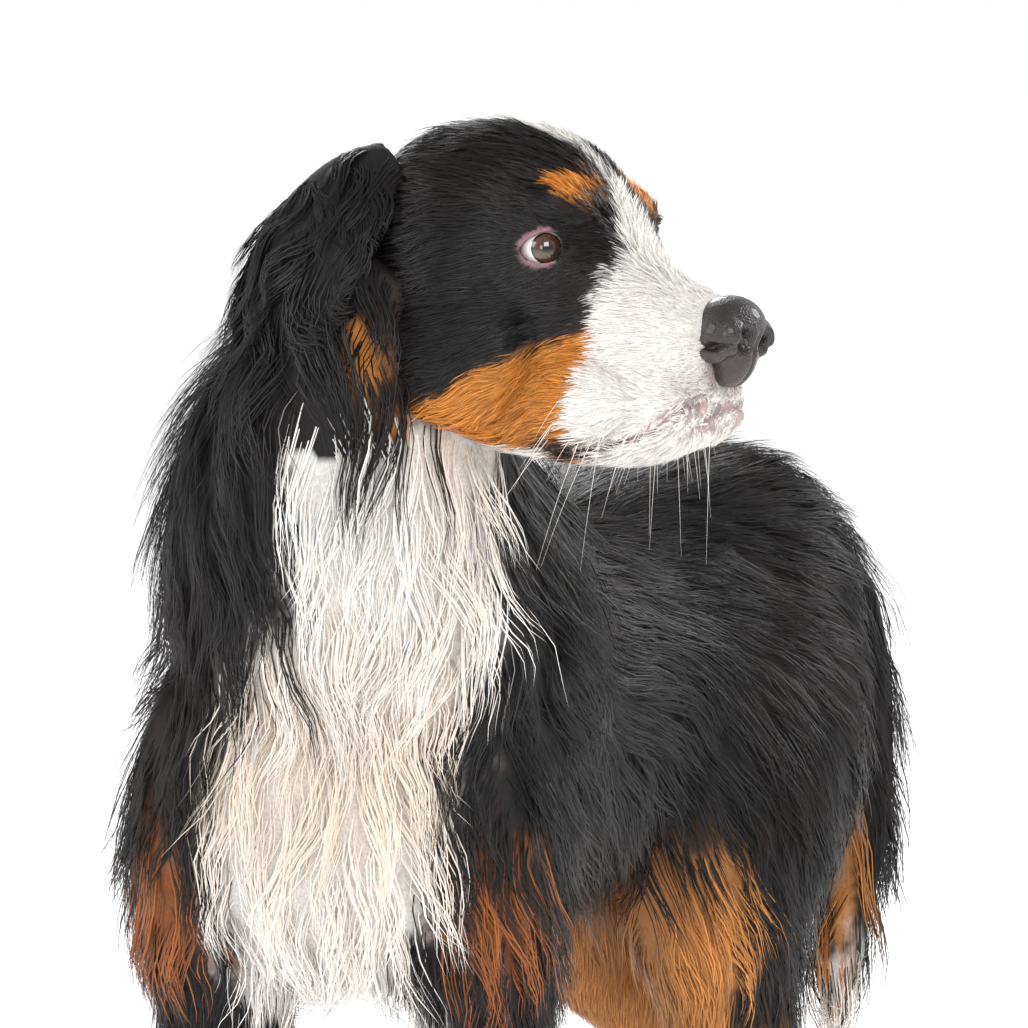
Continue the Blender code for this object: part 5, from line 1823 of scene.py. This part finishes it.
@dataclass(frozen=True)
class Whiskers:
    """Stiff pale whiskers on the lips and chin."""

    head: Head
    pelt: Pelt
    count: int = 22
    radius: float = 0.00022
    sunk: float = 0.002
    steps: int = 6

    def build(self, shift: Array) -> bpy.types.Object:
        """The whiskers as one mesh of thin tapered tubes.

        Args:
            shift: From the posed dog to the frame.

        Returns:
            A new object.
        """
        rng = np.random.default_rng(71)
        stance = self.head.stance
        clay = Clay()
        for side in Side:
            for k in range(self.count):
                forward = rng.uniform(0.012, 0.084)
                up = rng.uniform(-0.112, -0.072) if k % 3 else -0.116
                seed = stance.from_head(np.array([[forward, side * 0.05, up]]))[0]
                near, normal, _, _ = self.pelt.tree.find_nearest(seed.tolist())
                back = stance.head_turn() @ np.array([-0.5, side * 0.5, -0.5])
                way = np.array(normal) * 0.6 + back * 0.7 - Z_AXIS * rng.uniform(0.3, 0.9)
                way = unit(way + rng.normal(0, 0.15, 3))
                length = rng.uniform(0.022, 0.045) if k % 6 else rng.uniform(0.055, 0.075)
                clay.loft(self.rings(np.array(near) - way * self.sunk, way, length))
        obj = clay.object("whiskers", shift)
        obj.data.materials.append(WHISKER.material())
        return obj

    def rings(self, start: Array, way: Array, length: float) -> list[Array]:
        """The rings of one whisker, which sags towards its tip.

        Args:
            start: Where it starts.
            way: Its way there.
            length: How long it is.

        Returns:
            Rings of points.
        """
        across = unit(np.cross(way, np.array([0.3, 0.2, 1.0])))
        up = unit(np.cross(across, way))
        out = []
        for share in np.linspace(0, 1, self.steps + 1):
            centre = start + way * (length * share) - Z_AXIS * (length * 0.22 * share**2)
            size = self.radius * (1 - 0.85 * share)
            out.append(oval(centre, across, up, size, size, size, 4, 2.0))
        return out


# Studio.


@dataclass(frozen=True)
class Lamp:
    """One soft square lamp: where it hangs, what it points at, the length of its edge and its watts."""

    name: str
    at: tuple[float, float, float]
    aim: tuple[float, float, float]
    size: float
    power: float

    def build(self) -> None:
        """Hangs the lamp."""
        data = bpy.data.lights.new(self.name, "AREA")
        data.shape = "SQUARE"
        data.size = self.size
        data.energy = self.power
        obj = bpy.data.objects.new(self.name, data)
        obj.location = self.at
        obj.rotation_euler = (Vector(self.aim) - Vector(self.at)).to_track_quat("-Z", "Y").to_euler()
        bpy.context.scene.collection.objects.link(obj)


LAMPS = (
    Lamp("key", (2.3, -2.6, 2.5), (0.08, -0.20, 0.62), 1.5, 62.0),
    Lamp("fill", (-2.2, -2.0, 1.9), (0.0, -0.15, 0.55), 1.6, 34.0),
    Lamp("front", (0.9, -3.6, 1.5), (0.05, -0.15, 0.50), 1.1, 16.0),
    Lamp("rim", (1.8, 2.4, 2.3), (0.0, 0.0, 0.55), 1.4, 60.0),
    Lamp("back", (-2.0, 2.2, 2.2), (0.0, 0.1, 0.5), 1.4, 50.0),
)


@dataclass(frozen=True)
class Studio:
    """Floor, light and camera."""

    bearing: float = 30.0  # the camera's bearing, from straight ahead of the dog
    tilt: float = 8.0
    distance: float = 2.507
    aside: float = 0.019
    height: float = 0.954
    lens: float = 130.5
    floor_size: float = 60.0
    sky_light: float = 0.55

    def build(self, shift: Array) -> None:
        """Adds floor, camera, lamps and sky.

        Args:
            shift: From the posed dog to the frame.
        """
        self.floor()
        self.camera(shift)
        for lamp in LAMPS:
            lamp.build()
        world = bpy.data.worlds.new("studio")
        world.use_nodes = True
        tree = world.node_tree
        sky = tree.nodes["Background"]
        sky.inputs["Color"].default_value = (1.0, 1.0, 1.0, 1.0)
        seen = tree.nodes.new("ShaderNodeLightPath")
        strength = tree.nodes.new("ShaderNodeMapRange")
        strength.inputs["To Min"].default_value = self.sky_light
        strength.inputs["To Max"].default_value = 1.0
        tree.links.new(seen.outputs["Is Camera Ray"], strength.inputs["Value"])
        tree.links.new(strength.outputs["Result"], sky.inputs["Strength"])
        bpy.context.scene.view_settings.view_transform = "Standard"
        bpy.context.scene.world = world

    def floor(self) -> None:
        """A wide plain floor."""
        half = self.floor_size / 2
        corners = np.array([(-half, -half, 0), (half, -half, 0), (half, half, 0), (-half, half, 0)])
        obj = mesh_object("floor", corners, [(0, 1, 2, 3)])
        obj.data.materials.append(FLOOR.material())

    def camera(self, shift: Array) -> None:
        """The camera at the picture's angle."""
        angle = math.radians(self.bearing)
        right = Vector((math.cos(angle), math.sin(angle), 0))
        toward = Vector((math.sin(angle), -math.cos(angle), 0))
        tilt = math.radians(self.tilt)
        data = bpy.data.cameras.new("camera")
        data.lens = self.lens
        data.sensor_width = 36.0
        camera = bpy.data.objects.new("camera", data)
        bpy.context.scene.collection.objects.link(camera)
        middle = Vector((0, 0, self.height)) + Vector(shift)
        camera.location = toward * self.distance + right * self.aside + middle
        way = -toward * math.cos(tilt) - Vector((0, 0, math.sin(tilt)))
        camera.rotation_euler = way.to_track_quat("-Z", "Y").to_euler()
        bpy.context.scene.camera = camera


# The whole dog.


class Dog:
    """Builds the dog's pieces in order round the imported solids."""

    FLESH = (
        "torso",
        "neck",
        "head",
        "lower_jaw",
        "tail",
        *(f"{part}_left" for part in ("ear", "foreleg", "forepaw", "thigh", "hindleg", "hindpaw")),
        *(f"{part}_right" for part in ("ear", "foreleg", "forepaw", "thigh", "hindleg", "hindpaw")),
    )
    MOST = 190000  # triangles of one coat piece
    SKIN_PAINTED_SHADE = 0.72  # how bright the skin is beside its coat: painted shade under the coat
    LID_RIM = 0.0040  # how wide the bare rim of the lids is

    def __init__(self) -> None:
        """Sets up the makers of the parts."""
        self.stance = Stance()
        self.measures = Measures()
        self.markings = Markings(self.stance, self.measures, Palette())
        self.body = Body(self.stance, self.measures)
        self.head = Head(self.stance, self.measures, LidShape())
        self.unwrap = Unwrap(self.stance)
        self.shift = self.find_shift()

    def find_shift(self) -> Array:
        """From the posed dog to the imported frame, by the left eye's middle."""
        low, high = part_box("eye_left")
        x, y, z = self.measures.eye_at
        there = self.stance.from_head(np.array([[x, y, z]]))[0]
        return np.array((low + high) / 2) - there

    def dress(self, obj: bpy.types.Object, slot: str, *nodes: str) -> None:
        """Makes a piece ride on the dog and stand for its nodes."""
        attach(obj, "root")
        if nodes:
            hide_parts(*nodes)
        log.info("%s: %d faces", obj.name, len(obj.data.polygons))

    def build(self) -> None:
        """Builds every piece."""
        body = self.body.skin()
        head = self.head.skin()
        ears = {side: self.head.ear(side) for side in Side}
        log.info("bare forms made")
        head_pelt = Pelt(head)
        self.coat(Pelt(body), head_pelt, {side: Pelt(ear) for side, ear in ears.items()})
        self.dress(Whiskers(self.head, head_pelt).build(self.shift), "head")
        self.skin(body, head, ears)
        for side in Side:
            self.dress(Eyeball(self.head, side).build(self.shift), "eye", "eye_" + side.name.lower())
        self.dress(Nose(self.head).build(self.shift), "nose", "nose")
        for piece in Feet(self.body).build(self.shift):
            self.dress(piece, "forepaw")

    def skin(
        self, body: bpy.types.Object, head: bpy.types.Object, ears: dict[Side, bpy.types.Object]
    ) -> None:
        """One skin over all the flesh.

        Args:
            body: The bare body.
            head: The bare head.
            ears: The two ear flaps.
        """
        head_places = Pelt(head)
        whole = fused(body, head, "UNION")
        for ear in ears.values():
            whole = fused(whole, ear, "UNION")
        whole.name = "skin"
        p, n = vertex_places(whole), vertex_normals(whole)
        h = self.stance.to_head(p)
        close = h[:, 2] > -0.15
        near, _ = head_places.nearest(p[close])
        on_head = np.zeros(len(p), bool)
        on_head[close] = np.linalg.norm(near - p[close], axis=1) < 0.0005
        ear = (np.abs(h[:, 1]) > 0.06) & (h[:, 0] < -0.045) & (h[:, 2] > -0.135) & (h[:, 2] < 0.06)
        tint = self.markings.colours(p, n, False, None)
        face = on_head | ear
        tint[face] = self.markings.colours(p[face], n[face], True, None)
        # Painted shade: the skin under the coat is darker than the coat's own colours.
        tint *= self.SKIN_PAINTED_SHADE
        tint = self.face_skin(h, tint, on_head)
        set_tint(whole, tint)
        set_vertex_places(whole, p + self.shift)
        whole.data.shade_smooth()
        whole.data.materials.clear()
        whole.data.materials.append(SKIN.material())
        self.dress(whole, "torso", *self.FLESH)

    def face_skin(self, h: Array, tint: Array, on_head: Array) -> Array:
        """The bare skin of lids and lips over the tints.

        Args:
            h: The skin's points in the head's axes.
            tint: Their colours.
            on_head: Which of them are on the head.

        Returns:
            The colours with lids and lips.
        """
        pal = self.markings.palette
        blotch = Ripple(81, 0.012).at(h)
        gap, forward = self.head.lip_line(np.where(on_head[:, None], h, 1.0))
        lip = np.exp(-((gap / 0.0032) ** 4)) * on_head * rise(forward, -0.004, 0.002)
        front = rise(forward, 0.066, 0.006)[:, None]
        pink = rise(blotch, 0.7, 0.15)[:, None]
        grey = np.array(pal.lip_grey) * (1 - pink) + np.array(pal.lip_pink) * pink
        colour = np.array(pal.lip_dark) * (1 - front) + grey * front
        tint = tint * (1 - lip[:, None]) + colour * lip[:, None]
        muzzle_tip = rise(h[:, 0], 0.083, 0.003) * rise(-h[:, 2], 0.050, 0.006) * on_head
        mottled = (muzzle_tip * np.clip(0.75 + 0.25 * blotch, 0, 1))[:, None]
        spots = np.array(pal.lip_grey) * 0.8 * (1 - 0.5 * pink) + np.array(pal.lip_pink) * 0.5 * pink
        tint = tint * (1 - mottled) + spots * mottled
        for side in Side:
            gap = np.where(on_head, self.head.lid_gap(side, h), 1.0)
            rim = np.exp(-((gap / self.LID_RIM) ** 4))[:, None]
            inner = np.exp(-((gap / 0.0012) ** 4))[:, None]
            shade = np.array(pal.lid_pink) * (1 - inner) + np.array([0.10, 0.03, 0.03]) * inner
            tint = tint * (1 - rim) + shade * rim
        return tint

    def coat(self, body: Pelt, head: Pelt, ears: dict[Side, Pelt]) -> None:
        """Grows the coat of all parts and cuts it into pieces.

        Args:
            body: The bare body.
            head: The bare head.
            ears: The bare ears.
        """
        groomer = Groomer(body, BodyLie(self.stance), BODY_GRADE)
        strands = groomer.grow(self.body_keep(body, head), self.markings, False, self.unwrap)
        log.info("body coat grown")
        self.cut_body_coat(strands)
        groomer = Groomer(head, HeadLie(self.stance, self.measures), HEAD_GRADE)
        strands = groomer.grow(self.head_keep(head, body), self.markings, True, self.unwrap)
        material = HAIR.material()
        self.cut_pieces(strands, "coat_head", np.arange(len(strands.roots)), material, "head")
        for side, pelt in ears.items():
            grade = replace(EAR_GRADE, seed=EAR_GRADE.seed + side)
            groomer = Groomer(pelt, EarLie(self.stance, side), grade)
            strands = groomer.grow(np.ones(len(pelt.tri)), self.markings, True, self.unwrap)
            name = "coat_ear_" + side.name.lower()
            self.cut_pieces(strands, name, np.arange(len(strands.roots)), material, "ear")

    def body_keep(self, body: Pelt, head: Pelt) -> Array:
        """Where the body's coat grows: not inside the head, nor on the soles."""
        keep = np.ones(len(body.tri))
        close = np.linalg.norm(self.stance.to_head(body.middles), axis=1) < 0.19
        inside = head.inside(body.middles[close])
        keep[np.flatnonzero(close)[inside]] = 0.0
        keep[body.middles[:, 2] < 0.006] = 0.0
        return keep

    def head_keep(self, head: Pelt, body: Pelt) -> Array:
        """Where the head's coat grows: not inside the neck, nor on lids, nose and lips."""
        h = self.stance.to_head(head.middles)
        keep = np.ones(len(head.tri))
        back = h[:, 0] < -0.02
        inside = body.inside(head.middles[back])
        keep[np.flatnonzero(back)[inside]] = 0.0
        for side in Side:
            keep *= rise(self.head.lid_gap(side, h), 0.0034, 0.0004)
            at = np.array([self.measures.eye_at[0], side * self.measures.eye_at[1], 0.0])
            keep *= np.linalg.norm(h - at, axis=1) > 0.0150
        nose = np.array(self.measures.nose_at)
        keep *= rise(np.linalg.norm((h - nose) / np.array([1.0, 1.05, 1.0]), axis=1), 0.0228, 0.0006)
        gap, forward = self.head.lip_line(h)
        keep *= 1 - np.exp(-((gap / 0.0024) ** 4)) * rise(forward, -0.002, 0.002)
        return keep

    def cut_body_coat(self, strands: Strands) -> None:
        """Cuts the body's coat by the parts of the body."""
        q = self.stance.unbend(strands.roots)
        x, y, z = q.T
        tail = (y > 0.345) & (np.abs(x) < 0.075) & (z < 0.56)
        legs = (z < 0.33) & ~tail & (np.abs(x) > 0.02)
        neck = (z > 0.55) & (y < -0.05) & ~tail
        front = ~tail & ~legs & ~neck & (y < -0.05)
        rear = ~tail & ~legs & ~neck & ~front
        material = HAIR.material()
        parts = (("tail", tail), ("neck", neck), ("foreleg", legs & (y < 0)), ("hindleg", legs & (y >= 0)))
        for name, mine in parts:
            self.cut_pieces(strands, "coat_" + name, np.flatnonzero(mine), material, name)
        self.cut_pieces(strands, "coat_chest", np.flatnonzero(front), material, "torso")
        self.cut_pieces(strands, "coat_rump", np.flatnonzero(rear), material, "torso")

    def cut_pieces(
        self, strands: Strands, name: str, pick: Array, material: bpy.types.Material, slot: str
    ) -> None:
        """Makes the picked tufts into pieces that are small enough.

        Args:
            strands: The tufts.
            name: The first part of the pieces' names.
            pick: Indices of the tufts.
            material: Their finish.
            slot: Not used.
        """
        per = 2 * (strands.paths.shape[1] - 2) + 1
        most = self.MOST // per
        count = max(1, math.ceil(len(pick) / most))
        for k, part in enumerate(np.array_split(pick, count)):
            piece = strands.piece(f"{name}_{k + 1}", part, material, self.shift)
            self.dress(piece, slot)


def main() -> None:
    """Builds the studio and the dog."""
    logging.basicConfig(level=logging.INFO, format="%(message)s")
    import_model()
    dog = Dog()
    Studio().build(dog.shift)
    dog.build()


if __name__ == "__main__":
    main()
